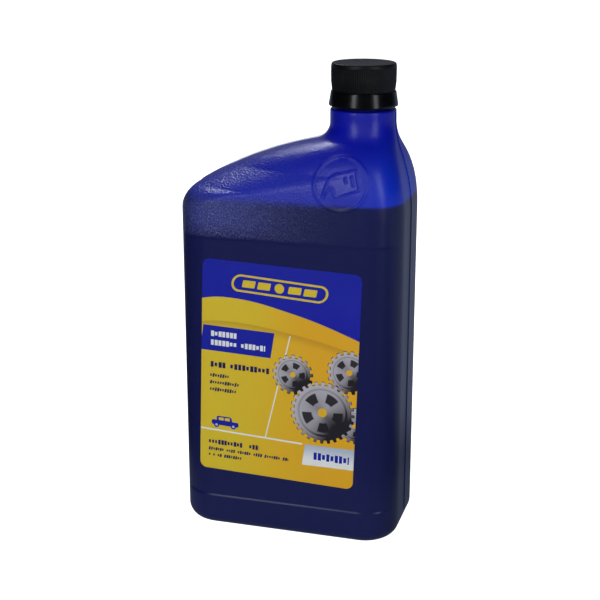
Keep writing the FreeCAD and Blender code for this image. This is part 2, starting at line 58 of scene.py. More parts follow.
def ink(red: int, green: int, blue: int) -> Colour:
    """The linear colour for screen values from 0 to 255."""
    def linear(level: int) -> float:
        """One channel, made linear."""
        share = level / 255
        return share / 12.92 if share <= 0.04045 else ((share + 0.055) / 1.055) ** 2.4

    return linear(red), linear(green), linear(blue), 1.0


def eased(share: float) -> float:
    """A share from 0 to 1 that starts and ends without a change of curvature."""
    share = min(1.0, max(0.0, share))
    return share**3 * (10 - 15 * share + 6 * share * share)


# Shader wiring

class Wiring:
    """Puts nodes into one shader tree and joins them."""

    def __init__(self, tree: bpy.types.NodeTree) -> None:
        """Work on this tree."""
        self.tree = tree

    def feed(self, socket: Socket, value: Value) -> None:
        """Give an input socket a value, or a link where the value is an output socket."""
        if isinstance(value, Socket):
            self.tree.links.new(value, socket)
        else:
            socket.default_value = value

    def fill(self, node: bpy.types.Node, inputs: dict[int | str, Value]) -> None:
        """Give a node values for its inputs, by number or name."""
        for key, value in inputs.items():
            self.feed(node.inputs[key], value)

    def add(self, kind: str, settings: dict[str, object], inputs: dict[int | str, Value]) -> bpy.types.Node:
        """Add a node.

        Args:
            kind: The node's type, less its "ShaderNode" prefix.
            settings: Attributes to set on it.
            inputs: Values for its inputs, by number or name.

        Returns:
            The node.
        """
        made = self.tree.nodes.new("ShaderNode" + kind)
        for name, setting in settings.items():
            setattr(made, name, setting)
        self.fill(made, inputs)
        return made

    def node(self, kind: str, settings: dict[str, object] | None = None,
             **inputs: Value) -> bpy.types.Node:
        """Add a node, with values for its inputs by name, underscores for spaces."""
        named = {name.replace("_", " "): value for name, value in inputs.items()}
        return self.add(kind, settings or {}, named)

    def math(self, operation: str, *values: Value, clamp: bool = False) -> Socket:
        """The result of a math node."""
        settings = {"operation": operation, "use_clamp": clamp}
        return self.add("Math", settings, dict(enumerate(values))).outputs[0]

    def plus(self, a: Value, b: Value) -> Socket:
        """A sum."""
        return self.math("ADD", a, b)

    def minus(self, a: Value, b: Value) -> Socket:
        """A difference."""
        return self.math("SUBTRACT", a, b)

    def times(self, a: Value, b: Value) -> Socket:
        """A product."""
        return self.math("MULTIPLY", a, b)

    def over(self, a: Value, b: Value) -> Socket:
        """A quotient."""
        return self.math("DIVIDE", a, b)

    def rest(self, share: Value) -> Socket:
        """What a share leaves of 1."""
        return self.minus(1.0, share)

    def size(self, value: Value) -> Socket:
        """A value without its sign."""
        return self.math("ABSOLUTE", value)

    def step(self, value: Value, low: Value, high: Value) -> Socket:
        """A soft step of a value, from 0 at low to 1 at high."""
        made = self.node("MapRange", {"interpolation_type": "SMOOTHSTEP"},
                         Value=value, From_Min=low, From_Max=high)
        return made.outputs["Result"]

    def blend(self, share: Value, under: Value, over: Value) -> Socket:
        """A mix of two colours."""
        return self.add("Mix", {"data_type": "RGBA"}, {0: share, 6: under, 7: over}).outputs[2]

    def between(self, share: Value, low: Value, high: Value) -> Socket:
        """A mix of two numbers."""
        return self.add("Mix", {"data_type": "FLOAT"}, {0: share, 2: low, 3: high}).outputs[0]

    def vector(self, operation: str, *values: Value) -> Socket:
        """The number that a vector math node gives."""
        return self.add("VectorMath", {"operation": operation}, dict(enumerate(values))).outputs["Value"]

    def noise(self, vector: Value, scale: Value, detail: float, distortion: float = 0.0) -> Socket:
        """A noise from 0 to 1."""
        made = self.node("TexNoise", Vector=vector, Scale=scale, Detail=detail, Distortion=distortion)
        return made.outputs["Fac"]

    def chance(self, seed: Value) -> Socket:
        """A random number for a whole number."""
        return self.node("TexWhiteNoise", {"noise_dimensions": "1D"}, W=seed).outputs["Value"]

    def bump(self, height: Value, strength: float, distance: float) -> Socket:
        """The normal of a surface with this relief."""
        return self.node("Bump", Height=height, Strength=strength, Distance=distance).outputs[0]

    def place(self) -> Socket:
        """The piece's own coordinates, in metres."""
        return self.node("TexCoord").outputs["Object"]

    def parts(self, vector: Value) -> tuple[Socket, ...]:
        """The X, Y and Z of a vector."""
        return tuple(self.node("SeparateXYZ", Vector=vector).outputs)

    def group(self, tree: bpy.types.NodeTree, *values: Value) -> bpy.types.bpy_prop_collection:
        """Place a node group.

        Args:
            tree: The group.
            *values: Values for its inputs, in their order.

        Returns:
            Its outputs.
        """
        return self.add("Group", {"node_tree": tree}, dict(enumerate(values))).outputs


@dataclass
class Effect:
    """A node group that is built once and placed in several materials."""

    name: str
    inputs: dict[str, object]
    outputs: tuple[str, ...]
    tree: bpy.types.NodeTree = field(init=False)

    def __post_init__(self) -> None:
        """Make the group with its sockets."""
        self.tree = bpy.data.node_groups.new(self.name, "ShaderNodeTree")
        sockets = self.tree.interface
        for label, default in self.inputs.items():
            kind = "NodeSocketVector" if isinstance(default, tuple) else "NodeSocketFloat"
            sockets.new_socket(label, in_out="INPUT", socket_type=kind).default_value = default
        for label in self.outputs:
            sockets.new_socket(label, in_out="OUTPUT", socket_type="NodeSocketFloat")
        self.net = Wiring(self.tree)
        self.given = tuple(self.tree.nodes.new("NodeGroupInput").outputs)[:len(self.inputs)]
        self.sink = self.tree.nodes.new("NodeGroupOutput").inputs

    def gives(self, *results: Value) -> bpy.types.NodeTree:
        """Link the group's outputs, in their order.

        Args:
            *results: What comes out.

        Returns:
            The group.
        """
        for socket, value in zip(self.sink, results):
            self.net.feed(socket, value)
        return self.tree


def moulded_grain() -> bpy.types.NodeTree:
    """Leather-like grain of a mould: small cells with soft walls, and a finer speckle.

    Returns:
        The group, with a height and a speck mask.
    """
    effect = Effect("moulded_grain", {"Vector": ORIGIN, "Scale": 900.0, "Fine Share": 0.35},
                    ("Height", "Speck"))
    net, (vector, scale, share) = effect.net, effect.given
    cells = net.node("TexVoronoi", {"feature": "SMOOTH_F1"}, Vector=vector, Scale=scale, Smoothness=0.6)
    fine = net.noise(vector, net.times(scale, 2.2), 3.0)
    return effect.gives(net.between(share, cells.outputs["Distance"], fine), net.step(fine, 0.5, 0.64))


def handling_marks() -> bpy.types.NodeTree:
    """Faint scuffs and dust from handling.

    Returns:
        The group, with a mask of scuffs and a slow smudge value.
    """
    effect = Effect("handling_marks", {"Vector": ORIGIN, "Scale": 60.0}, ("Scuff", "Smudge"))
    net, (vector, scale) = effect.net, effect.given
    drawn = net.node("Mapping", Vector=vector, Scale=(1.0, 1.0, 9.0), Rotation=(0.4, 0.2, 0.6))
    scratch = net.noise(drawn.outputs[0], net.times(scale, 4.0), 4.0)
    slow = net.noise(vector, scale, 2.0)
    return effect.gives(net.times(net.step(scratch, 0.66, 0.74), net.step(slow, 0.58, 0.72)), slow)


def printed_bar() -> bpy.types.NodeTree:
    """A printed rectangle with round corners and slanting sides, in millimetres.

    Returns:
        The group, with a mask.
    """
    effect = Effect("printed_bar", {
        "Vector": ORIGIN, "Across": 0.0, "Up": 0.0, "Half Width": 5.0, "Half Height": 1.0,
        "Corner": 0.3, "Slant": 0.0, "Tilt": 0.0}, ("Mask",))
    net, (vector, middle_x, middle_z, half_width, half_height, corner, slant, tilt) = effect.net, effect.given
    x, _, z = net.parts(vector)
    across = net.minus(x, middle_x)
    up = net.minus(net.minus(z, middle_z), net.times(tilt, across))
    across = net.minus(across, net.times(slant, up))
    reach = []
    for place, half in ((across, half_width), (up, half_height)):
        past = net.minus(net.size(place), net.minus(half, corner))
        reach.append(net.math("POWER", net.math("MAXIMUM", past, 0.0), 2.0))
    outside = net.minus(net.math("SQRT", net.plus(*reach)), corner)
    return effect.gives(net.rest(net.step(outside, -0.07, 0.07)))


def printed_words() -> bpy.types.NodeTree:
    """A row of filler marks with the rhythm of small print, but no letters, in millimetres.

    Returns:
        The group, with a mask.
    """
    effect = Effect("printed_words", {
        "Vector": ORIGIN, "Left": -10.0, "Right": 10.0, "Up": 0.0, "Half Height": 0.8,
        "Pitch": 1.1, "Lean": 0.0}, ("Mask",))
    net, (vector, left, right, row, half_height, pitch, lean) = effect.net, effect.given
    x, _, z = net.parts(vector)
    up = net.minus(z, row)
    x = net.minus(x, net.times(lean, up))
    along = net.over(net.minus(x, left), pitch)
    cell = net.math("FLOOR", along)
    local = net.minus(along, cell)
    chance = net.chance(net.plus(cell, net.times(row, 3.7)))
    inside = net.math("LESS_THAN", local, net.between(chance, 0.56, 0.84))
    space = net.math("GREATER_THAN", chance, 0.13)
    tall = net.times(half_height, net.between(net.math("GREATER_THAN", chance, 0.55), 0.66, 1.0))
    level = net.math("LESS_THAN", net.size(up), tall)
    ends = net.times(net.math("GREATER_THAN", x, left), net.math("LESS_THAN", x, right))
    return effect.gives(net.times(net.times(inside, space), net.times(level, ends)))


def printed_gear() -> bpy.types.NodeTree:
    """A printed gear wheel seen from the front, in millimetres.

    Returns:
        The group, with a mask of the wheel, its shade from dark to light, and its dark outline.
    """
    effect = Effect("printed_gear", {
        "Vector": ORIGIN, "Across": 0.0, "Up": 0.0, "Radius": 8.0, "Teeth": 16.0, "Tooth": 1.2,
        "Turn": 0.0}, ("Mask", "Shade", "Outline"))
    net, (vector, middle_x, middle_z, radius, teeth, tooth, turn) = effect.net, effect.given
    x, _, z = net.parts(vector)
    across, up = net.minus(x, middle_x), net.minus(z, middle_z)
    far = net.math("SQRT", net.plus(net.math("POWER", across, 2.0), net.math("POWER", up, 2.0)))
    angle = net.math("ARCTAN2", up, across)
    wave = net.math("SINE", net.plus(net.times(angle, teeth), turn))
    edge = net.minus(far, net.plus(radius, net.times(net.step(wave, -0.35, 0.35), tooth)))
    share = net.over(far, radius)
    spoke = net.math("COSINE", net.plus(net.times(angle, 5.0), turn))
    web = net.times(net.step(share, 0.36, 0.40), net.rest(net.step(share, 0.70, 0.74)))
    window = net.times(web, net.step(spoke, -0.15, 0.05))
    mask = net.times(net.math("LESS_THAN", edge, 0.0), net.math("GREATER_THAN", share, 0.16))
    fall = net.over(net.minus(up, across), net.times(radius, 2.6))
    brushed = net.math("SINE", net.times(angle, 2.0))
    shade = net.plus(net.plus(0.5, fall), net.times(brushed, 0.16))
    ring = net.rest(net.step(net.size(net.minus(share, 0.84)), 0.02, 0.05))
    shade = net.times(net.minus(shade, net.times(ring, 0.25)), net.rest(net.times(window, 0.94)))
    return effect.gives(mask, net.math("MAXIMUM", shade, 0.02, clamp=True),
                        net.math("LESS_THAN", net.size(edge), 0.16))


class Effects:
    """The effects that several materials share."""

    def __init__(self) -> None:
        """Build each group once."""
        self.grain = moulded_grain()
        self.marks = handling_marks()
        self.bar = printed_bar()
        self.words = printed_words()
        self.gear = printed_gear()


# Finishes

@dataclass(frozen=True)
class Finish:
    """A finish that becomes one material."""

    name: str

    def shading(self, net: Wiring, effects: Effects) -> dict[str, Value]:
        """What the finish gives to the inputs of its shader.

        Args:
            net: The material's wiring.
            effects: The shared node groups.

        Returns:
            Values by input name.
        """
        raise NotImplementedError

    def material(self, effects: Effects) -> bpy.types.Material:
        """The finish as a material.

        Args:
            effects: The shared node groups.

        Returns:
            The material.
        """
        made = bpy.data.materials.new(self.name)
        made.use_nodes = True
        net = Wiring(made.node_tree)
        net.fill(made.node_tree.nodes["Principled BSDF"], self.shading(net, effects))
        return made


@dataclass(frozen=True)
class Moulding(Finish):
    """A moulded plastic in one colour, with its grain and gloss."""

    colour: Colour
    worn: Colour
    roughness: float
    grain_scale: float
    grain_height: float
    specular: float = 0.5

    def shading(self, net: Wiring, effects: Effects) -> dict[str, Value]:
        """Grain, with smudges and scuffs in the colour and the gloss."""
        place = net.place()
        height, _ = net.group(effects.grain, place, self.grain_scale)
        scuff, smudge = net.group(effects.marks, place, 90.0)
        tone = net.math("ADD", net.times(smudge, 0.5), net.times(scuff, 0.25), clamp=True)
        rough = net.between(smudge, self.roughness * 0.85, self.roughness * 1.2)
        return {"Base Color": net.blend(tone, self.colour, self.worn),
                "Roughness": net.plus(rough, net.times(scuff, 0.12)),
                "Normal": net.bump(height, 0.5, self.grain_height),
                "Specular IOR Level": self.specular}


@dataclass(frozen=True)
class BluePolyethylene(Finish):
    """Translucent blue polyethylene: deep where the oil stands behind it, bright above the oil."""

    name: str = "bottle_polyethylene"
    filled: Colour = ink(17, 22, 73)
    # painted shade: darker colour for the narrow sides below the oil
    filled_side: Colour = ink(12, 18, 62)
    # painted sheen: greyish colour for the veil of reflected light on the grained front
    filled_lit: Colour = ink(40, 47, 112)
    empty: Colour = ink(30, 42, 160)
    empty_bright: Colour = ink(4, 42, 182)
    empty_deep: Colour = ink(6, 15, 150)
    # painted shade: darker colour for the neck finish where the tamper band shades it
    finish: Colour = ink(12, 14, 92)
    # painted highlight: pale specks that stand in for glints on the grain
    speck: Colour = ink(112, 118, 176)
    # painted highlight: near-white colour for the glint along the parting line's flash
    parting: Colour = ink(238, 241, 252)
    level: float = 0.1672
    panel_high: float = 0.1481

    def tone(self, net: Wiring, place: Value, slow: Value) -> Socket:
        """The colour: the oil's level shows as a soft line through the wall; painted shade darkens the narrow
        sides and the neck finish, and a painted sheen lightens the grained front above the panel.

        Args:
            net: The material's wiring.
            place: Object coordinates.
            slow: A slow noise.

        Returns:
            The colour.
        """
        x, y, z = net.parts(place)
        soft = net.between(net.step(x, 0.0, 0.035), 0.0030, 0.0011)
        wave = net.times(net.minus(slow, 0.5), 0.0016)
        depth = net.minus(net.plus(z, wave), self.level)
        above = net.step(net.over(depth, soft), -1.0, 1.0)
        # painted shade: the narrow sides darker than the broad faces
        side = net.step(net.size(y), 0.018, 0.030)
        bright = net.times(net.step(x, 0.030, 0.052), net.step(z, 0.205, 0.172))
        upper = net.blend(net.step(z, 0.166, 0.200), self.empty, self.empty_deep)
        upper = net.blend(bright, upper, self.empty_bright)
        # painted shade: the neck finish from the ledge up is darkened as if shaded by the tamper band
        upper = net.blend(net.step(z, 0.20705, 0.20805), upper, self.finish)
        lower = net.blend(side, self.filled_side, self.filled)
        # painted sheen on the grained front between the panel's head and the oil, fading out to the right and
        # at the left corner
        lit = net.times(net.step(z, self.panel_high - 0.0005, 0.158), net.step(x, 0.012, -0.034))
        lower = net.blend(net.times(lit, net.step(x, -0.051, -0.041)), lower, self.filled_lit)
        return net.blend(above, lower, upper)

    def shading(self, net: Wiring, effects: Effects) -> dict[str, Value]:
        """The wall: grained above the panels, with painted glints on the grain and a painted highlight along
        the parting line.
        """
        place = net.place()
        x, y, z = net.parts(place)
        height, speck = net.group(effects.grain, place, 1050.0, 0.3)
        scuff, smudge = net.group(effects.marks, place, 45.0)
        front = net.step(y, 0.0, -0.004)
        fade = net.times(net.step(x, 0.034, 0.006), net.step(z, 0.203, 0.190))
        grained = net.times(net.step(z, self.panel_high, self.panel_high + 0.002),
                            net.between(fade, 0.12, 1.0))
        # painted glints: lighter specks on the grained front, most on the left and below the oil
        strewn = net.times(grained, net.between(net.step(x, 0.020, -0.040), 0.12, 0.5))
        strewn = net.times(strewn, net.between(net.step(z, 0.164, 0.171), 1.0, 0.3))
        glint_specks = net.times(speck, net.times(strewn, front))
        colour = net.blend(glint_specks, self.tone(net, place, smudge), self.speck)
        # painted highlight along the parting line's flash on the shoulder ridge
        line = net.times(net.step(net.size(net.plus(y, 0.0004)), 0.0019, 0.0014),
                         net.times(net.step(z, 0.1745, 0.180), net.step(z, 0.1985, 0.1965)))
        line = net.times(line, net.step(x, 0.030, 0.020))
        rough = net.plus(net.between(grained, 0.285, 0.315), net.times(scuff, 0.02))
        return {"Base Color": net.blend(line, colour, self.parting),
                "Roughness": rough,
                "Normal": net.bump(net.times(height, net.between(grained, 0.1, 1.0)), 0.75, 0.00032),
                "Specular IOR Level": 0.5,
                "Subsurface Weight": 0.12,
                "Subsurface Radius": (0.2, 0.25, 1.0),
                "Subsurface Scale": 0.002}


@dataclass(frozen=True)
class Foil(Finish):
    """Bright aluminium foil with fine wrinkles."""

    name: str = "foil"

    def shading(self, net: Wiring, effects: Effects) -> dict[str, Value]:
        """Wrinkles in the relief and the gloss, smudges in the colour."""
        place = net.place()
        _, smudge = net.group(effects.marks, place, 420.0)
        wrinkle = net.noise(place, 260.0, 5.0, 0.8)
        return {"Base Color": net.blend(smudge, ink(196, 198, 202), ink(232, 233, 235)),
                "Roughness": net.between(wrinkle, 0.18, 0.36),
                "Metallic": 1.0,
                "Normal": net.bump(wrinkle, 0.45, 0.0006)}


@dataclass(frozen=True)
class Oil(Finish):
    """Clear amber engine oil."""

    name: str = "amber_oil"

    def shading(self, net: Wiring, effects: Effects) -> dict[str, Value]:
        """Slow clouds in the colour and the gloss."""
        _, smudge = net.group(effects.marks, net.place(), 30.0)
        return {"Base Color": net.blend(smudge, ink(150, 84, 10), ink(186, 118, 22)),
                "Roughness": net.between(smudge, 0.04, 0.09)}


class Side(Enum):
    """Which face of the bottle a label is on."""

    FRONT = "front"
    BACK = "back"


@dataclass
class Press:
    """Prints shapes on one label, each over what is there already."""

    net: Wiring
    effects: Effects
    where: Value
    colour: Value

    def stamp(self, tree: bpy.types.NodeTree, rows: tuple[tuple[Value, ...], ...]) -> None:
        """Print a group's mask for each row: a colour, then the group's inputs after its vector."""
        for colour, *sizes in rows:
            mask = self.net.group(tree, self.where, *sizes)[0]
            self.colour = self.net.blend(mask, self.colour, colour)

    def bars(self, *rows: tuple[Value, ...]) -> None:
        """Print bars: colour, across, up, half width, half height, corner, slant and tilt."""
        self.stamp(self.effects.bar, rows)

    def words(self, *rows: tuple[Value, ...]) -> None:
        """Print rows of filler marks: colour, left, right, up, half height, pitch and lean."""
        self.stamp(self.effects.words, rows)

    def gear(self, dark: Colour, light: Colour, *sizes: float) -> None:
        """Print a wheel between two shades: across, up, radius, teeth, tooth and turn."""
        mask, shade, outline = self.net.group(self.effects.gear, self.where, *sizes)
        self.colour = self.net.blend(mask, self.colour, self.net.blend(shade, dark, light))
        self.colour = self.net.blend(outline, self.colour, dark)


@dataclass(frozen=True)
class Print(Finish):
    """The printing on one label, in millimetres from the label's middle."""

    side: Side
    centre: tuple[float, float]
    tilt: float
    blue: Colour = ink(8, 22, 146)
    navy: Colour = ink(24, 26, 74)
    yellow: Colour = ink(198, 172, 34)
    orange: Colour = ink(206, 153, 20)
    white: Colour = ink(208, 210, 206)
    pale: Colour = ink(156, 168, 184)
    steel_dark: Colour = ink(18, 16, 24)
    steel_light: Colour = ink(176, 172, 178)

    def coordinates(self, net: Wiring) -> Socket:
        """The place on the label, in millimetres from its middle, with X to the reader's right."""
        across = -1.0 if self.side is Side.BACK else 1.0
        centred = net.node("Mapping", {"vector_type": "TEXTURE"}, Vector=net.place(),
                           Location=(self.centre[0] * MM, 0.0, self.centre[1] * MM),
                           Rotation=(0.0, self.tilt, 0.0), Scale=(across * MM, MM, MM))
        return centred.outputs[0]

    def curve(self, net: Wiring, x: Value, points: Points) -> Socket:
        """A height over the label's width, as a smooth line through points.

        Args:
            net: The material's wiring.
            x: The place across the label.
            points: Places across and heights.

        Returns:
            The height.
        """
        made = net.node("FloatCurve", Value=net.math("DIVIDE", net.plus(x, 40.0), 80.0, clamp=True))
        line = made.mapping.curves[0]
        spots = [((across + 40.0) / 80.0, (up + 60.0) / 120.0) for across, up in points]
        line.points[0].location = spots[0]
        line.points[1].location = spots[-1]
        for spot in spots[1:-1]:
            line.points.new(*spot)
        made.mapping.update()
        return net.minus(net.times(made.outputs[0], 120.0), 60.0)

    def front(self, press: Press) -> None:
        """Print the front: a yellow field, a blue head with a badge, gears, filler words and a car.

        Args:
            press: The press, on this label.
        """
        net = press.net
        x, _, z = net.parts(press.where)
        cloud = net.noise(press.where, 0.035, 2.0, 0.4)
        turn = net.math("ADD", net.step(x, -34.0, 30.0), net.times(net.minus(cloud, 0.5), 0.9), clamp=True)
        glow = net.times(net.step(cloud, 0.45, 0.8), net.step(x, 12.0, -26.0))
        paper = net.blend(glow, net.blend(turn, self.yellow, self.orange), ink(196, 174, 34))
        under_wave = net.minus(self.curve(net, x, [(-40, 22.0), (-28, 23.6), (5, 21.4), (40, 14.6)]), z)
        shade = net.times(net.step(under_wave, 0.0, 0.25), net.rest(net.step(under_wave, 0.2, 5.0)))
        press.colour = net.blend(net.times(shade, 0.42), paper, ink(150, 108, 26))
        press.bars((self.white, -13.0, -33.2, 26.0, 0.42, 0.1, 0.0, -0.018),
                   (self.white, -0.15, -6.6, 0.28, 26.6, 0.1, 0.206))
        top_wave = self.curve(net, x, [(-40, 33.4), (-27, 35.4), (5, 31.3), (40, 21.0)])
        head = net.blend(net.step(z, 24.0, 54.0), ink(6, 18, 150), self.blue)
        press.colour = net.blend(net.step(net.minus(z, top_wave), -0.08, 0.08), press.colour, head)
        press.bars((self.yellow, -0.6, 42.6, 23.5, 4.3, 4.2, 0.2, -0.03),
                   (self.blue, -0.6, 42.6, 22.4, 3.3, 3.2, 0.2, -0.03))
        for across in (-15.6, -8.1, 6.9, 14.4):
            press.bars((self.yellow, across, 42.6 - 0.03 * across, 3.1, 1.75, 0.5, 0.2))
        press.bars((self.yellow, -0.6, 42.6, 2.3, 2.3, 2.25),
                   (self.blue, -21.0, 14.2, 17.8, 6.35, 0.15, 0.13, -0.004))
        press.words((self.white, -34.0, -16.2, 16.6, 1.35, 1.9),
                    (self.white, -34.0, -6.8, 12.1, 1.35, 1.9),
                    (self.navy, -34.0, -4.2, 1.0, 1.45, 2.0),
                    (self.navy, -34.2, -24.8, -4.6, 0.95, 1.25, 0.2),
                    (self.navy, -34.2, -19.6, -8.2, 0.95, 1.25, 0.2),
                    (self.navy, -34.2, -21.0, -11.8, 0.95, 1.25, 0.2),
                    (self.navy, -34.4, -8.6, -39.2, 1.25, 1.6),
                    (self.navy, -34.4, 6.4, -43.0, 0.85, 1.15, 0.15),
                    (self.navy, -34.4, -16.0, -46.2, 0.85, 1.15, 0.15))
        press.bars((self.blue, -26.2, -28.9, 6.9, 1.25, 0.9, 0.0, -0.02),
                   (self.blue, -26.6, -27.0, 3.9, 1.6, 1.1, -0.15),
                   (self.yellow, -28.2, -26.8, 1.3, 0.75, 0.3),
                   (self.yellow, -25.1, -26.8, 1.3, 0.75, 0.3))
        for across in (-30.6, -22.0):
            press.bars((self.blue, across, -30.1, 1.35, 1.35, 1.34),
                       (self.pale, across, -30.1, 0.65, 0.65, 0.64))
        for sizes in ((38.4, -20.6, 7.6, 16.0, 1.4, 0.7), (34.6, 5.6, 9.2, 18.0, 1.5, 0.4),
                      (7.2, 1.0, 8.4, 17.0, 1.5, 0.0), (22.4, -16.2, 14.0, 28.0, 1.6, 1.1)):
            press.gear(self.steel_dark, self.steel_light, *sizes)
        tag = net.blend(net.step(z, -33.0, -42.0), self.pale, self.white)
        press.bars((tag, 28.6, -38.6, 14.8, 5.3, 0.1, 0.12, 0.03))
        press.words((self.blue, 16.8, 36.4, -39.0, 1.9, 2.1))

    def back(self, press: Press) -> None:
        """Print the back: a head band, rows of small print and a panel of stripes.

        Args:
            press: The press, on this label.
        """
        net = press.net
        x, _, z = net.parts(press.where)
        top_wave = self.curve(net, x, [(-40, 30.0), (-20, 35.2), (10, 36.6), (40, 33.0)])
        paper = net.blend(net.step(x, -36.0, 36.0), self.yellow, self.orange)
        press.colour = net.blend(net.step(net.minus(z, top_wave), -0.08, 0.08), paper, self.blue)
        press.words((self.white, -32.0, 12.0, 46.5, 1.3, 1.9),
                    (self.white, -32.0, 24.0, 46.5 - 4.2, 1.3, 1.9))
        rows = net.over(net.minus(z, -20.0), 2.45)
        row = net.math("FLOOR", rows)
        level = net.times(net.minus(net.minus(rows, row), 0.5), 2.45)
        lift = net.times(row, 13.7)
        line = net.node("CombineXYZ", X=x, Y=0.0, Z=net.plus(level, lift)).outputs[0]
        right = net.between(net.chance(row), 12.0, 33.5)
        small = net.group(press.effects.words, line, -33.5, right, lift, 0.72, 1.05)[0]
        zone = net.times(net.step(z, -19.9, -19.7), net.rest(net.step(z, 26.4, 26.6)))
        press.colour = net.blend(net.times(small, zone), press.colour, self.navy)
        press.bars((self.white, 19.0, -37.0, 15.0, 10.5, 0.6))
        chance = net.chance(net.math("FLOOR", net.over(x, 0.36)))
        panel = net.group(press.effects.bar, press.where, 19.0, -37.0, 12.4, 8.2, 0.05)[0]
        stripes = net.times(panel, net.math("GREATER_THAN", chance, 0.5))
        press.colour = net.blend(stripes, press.colour, ink(20, 20, 24))
        for index, end in enumerate((-4.0, -8.0, -2.0, -14.0)):
            press.words((self.navy, -33.5, end, -29.0 - 4.6 * index, 1.0, 1.4))

    def shading(self, net: Wiring, effects: Effects) -> dict[str, Value]:
        """The printed film: faint dirt, scuffed gloss and a slow ripple."""
        where = self.coordinates(net)
        press = Press(net, effects, where, self.yellow)
        (self.front if self.side is Side.FRONT else self.back)(press)
        scuff, smudge = net.group(effects.marks, net.place(), 70.0)
        speck = net.noise(where, 3.0, 2.0)
        rough = net.plus(net.between(smudge, 0.30, 0.42), net.times(scuff, 0.1))
        height = net.plus(net.noise(where, 0.06, 1.0), net.times(speck, 0.012))
        dirt = net.times(net.step(speck, 0.58, 0.75), 0.08)
        return {"Base Color": net.blend(dirt, press.colour, self.navy),
                "Roughness": rough,
                "Normal": net.bump(height, 0.35, 0.0008),
                "Specular IOR Level": 0.32}


# Meshes

def finished_mesh(name: str, bm: bmesh.types.BMesh, material: bpy.types.Material,
                  sharp: float = 40.0) -> bpy.types.Object:
    """Turn a bmesh into a smooth-shaded object with one material.

    Args:
        name: The piece's name.
        bm: Its bmesh, in metres, which is freed.
        material: Its material.
        sharp: Edges that bend by more than these degrees stay sharp.

    Returns:
        The object, linked to the scene.
    """
    mesh = bpy.data.meshes.new(name)
    bm.to_mesh(mesh)
    bm.free()
    mesh.polygons.foreach_set("use_smooth", [True] * len(mesh.polygons))
    mesh.set_sharp_from_angle(angle=math.radians(sharp))
    mesh.materials.append(material)
    made = bpy.data.objects.new(name, mesh)
    bpy.context.scene.collection.objects.link(made)
    LOG.info("built %s: %d faces", name, len(mesh.polygons))
    return made


def faces_of(verts: list[bmesh.types.BMVert]) -> list[bmesh.types.BMFace]:
    """The faces at these vertices."""
    return list({face for vert in verts for face in vert.link_faces})


def turned(profile: Points, axis_x: float, steps: int, closed: bool = True) -> bmesh.types.BMesh:
    """Spin an outline of radii and heights, in millimetres, round an upright axis.

    Args:
        profile: Radii and heights.
        axis_x: The axis's place along X.
        steps: Steps round.
        closed: Whether the last point joins the first.

    Returns:
        The turned mesh.
    """
    bm = bmesh.new()
    points = [bm.verts.new(((axis_x + radius) * MM, 0.0, height * MM)) for radius, height in profile]
    pairs = list(zip(points, points[1:]))
    if closed:
        pairs.append((points[-1], points[0]))
    edges = [bm.edges.new(pair) for pair in pairs]
    bmesh.ops.spin(bm, geom=points + edges, cent=(axis_x * MM, 0.0, 0.0), axis=(0.0, 0.0, 1.0),
                   angle=2 * math.pi, steps=steps, use_merge=True)
    bmesh.ops.remove_doubles(bm, verts=bm.verts[:], dist=1e-7)
    bmesh.ops.recalc_face_normals(bm, faces=bm.faces[:])
    return bm


def rounded(profile: Points, radii: dict[int, float], steps: int = 5) -> Points:
    """Round some corners of an outline.

    Args:
        profile: The outline's corners.
        radii: A cut-back distance for the corners to round, by index.
        steps: Points on each rounded corner, less one.

    Returns:
        The outline with its corners rounded.
    """
    points = []
    for index, corner in enumerate(profile):
        if index not in radii:
            points.append(corner)
            continue
        here = Vector(corner)
        back = Vector(profile[index - 1]) - here
        ahead = Vector(profile[(index + 1) % len(profile)]) - here
        start = here + back.normalized() * radii[index]
        end = here + ahead.normalized() * radii[index]
        for step in range(steps + 1):
            share = step / steps
            spot = start * (1 - share) ** 2 + here * 2 * share * (1 - share) + end * share**2
            points.append((spot.x, spot.y))
    return points


def wound_ridge(bm: bmesh.types.BMesh, section: Points, foot: float, axis_x: float, pitch: float,
                turns: float, root: float) -> None:
    """Spin a section into a closed right-hand thread ridge whose ends fade into its root.

    Args:
        bm: The bmesh to add to.
        section: Radii, and heights from the ridge's middle, in millimetres.
        foot: The height of its lower end.
        axis_x: The axis's place along X.
        pitch: Rise in one turn.
        turns: Number of turns.
        root: The radius into which the ends fade.
    """
    per_turn, fade = 64, 0.22
    before = set(bm.verts)
    points = [bm.verts.new(((axis_x + radius) * MM, 0.0, (foot + up) * MM)) for radius, up in section]
    edges = [bm.edges.new(pair) for pair in zip(points, points[1:] + points[:1])]
    bm.faces.new(points)
    bmesh.ops.spin(bm, geom=points + edges, cent=(axis_x * MM, 0.0, 0.0), axis=(0.0, 0.0, 1.0),
                   dvec=(0.0, 0.0, pitch * MM / per_turn), angle=2 * math.pi * turns,
                   steps=round(turns * per_turn))
    made = [vert for vert in bm.verts if vert not in before]
    loose = [edge for edge in {edge for vert in made for edge in vert.link_edges} if edge.is_boundary]
    bmesh.ops.contextual_create(bm, geom=loose)
    for vert in made:
        along = (vert.co.z / MM - foot) / pitch
        share = eased(min(along + 0.2, turns + 0.2 - along) / fade)
        arm = Vector((vert.co.x - axis_x * MM, vert.co.y))
        arm = arm.normalized() * (root * MM + (arm.length - root * MM) * share)
        vert.co.x, vert.co.y = axis_x * MM + arm.x, arm.y
    bmesh.ops.recalc_face_normals(bm, faces=faces_of(made))


@dataclass(frozen=True)
class Section:
    """One level section of the blown body: its left and right ends, half depth and corners."""

    z: float
    left: float
    right: float
    depth: float
    left_reach: float
    left_crown: float
    corner: float


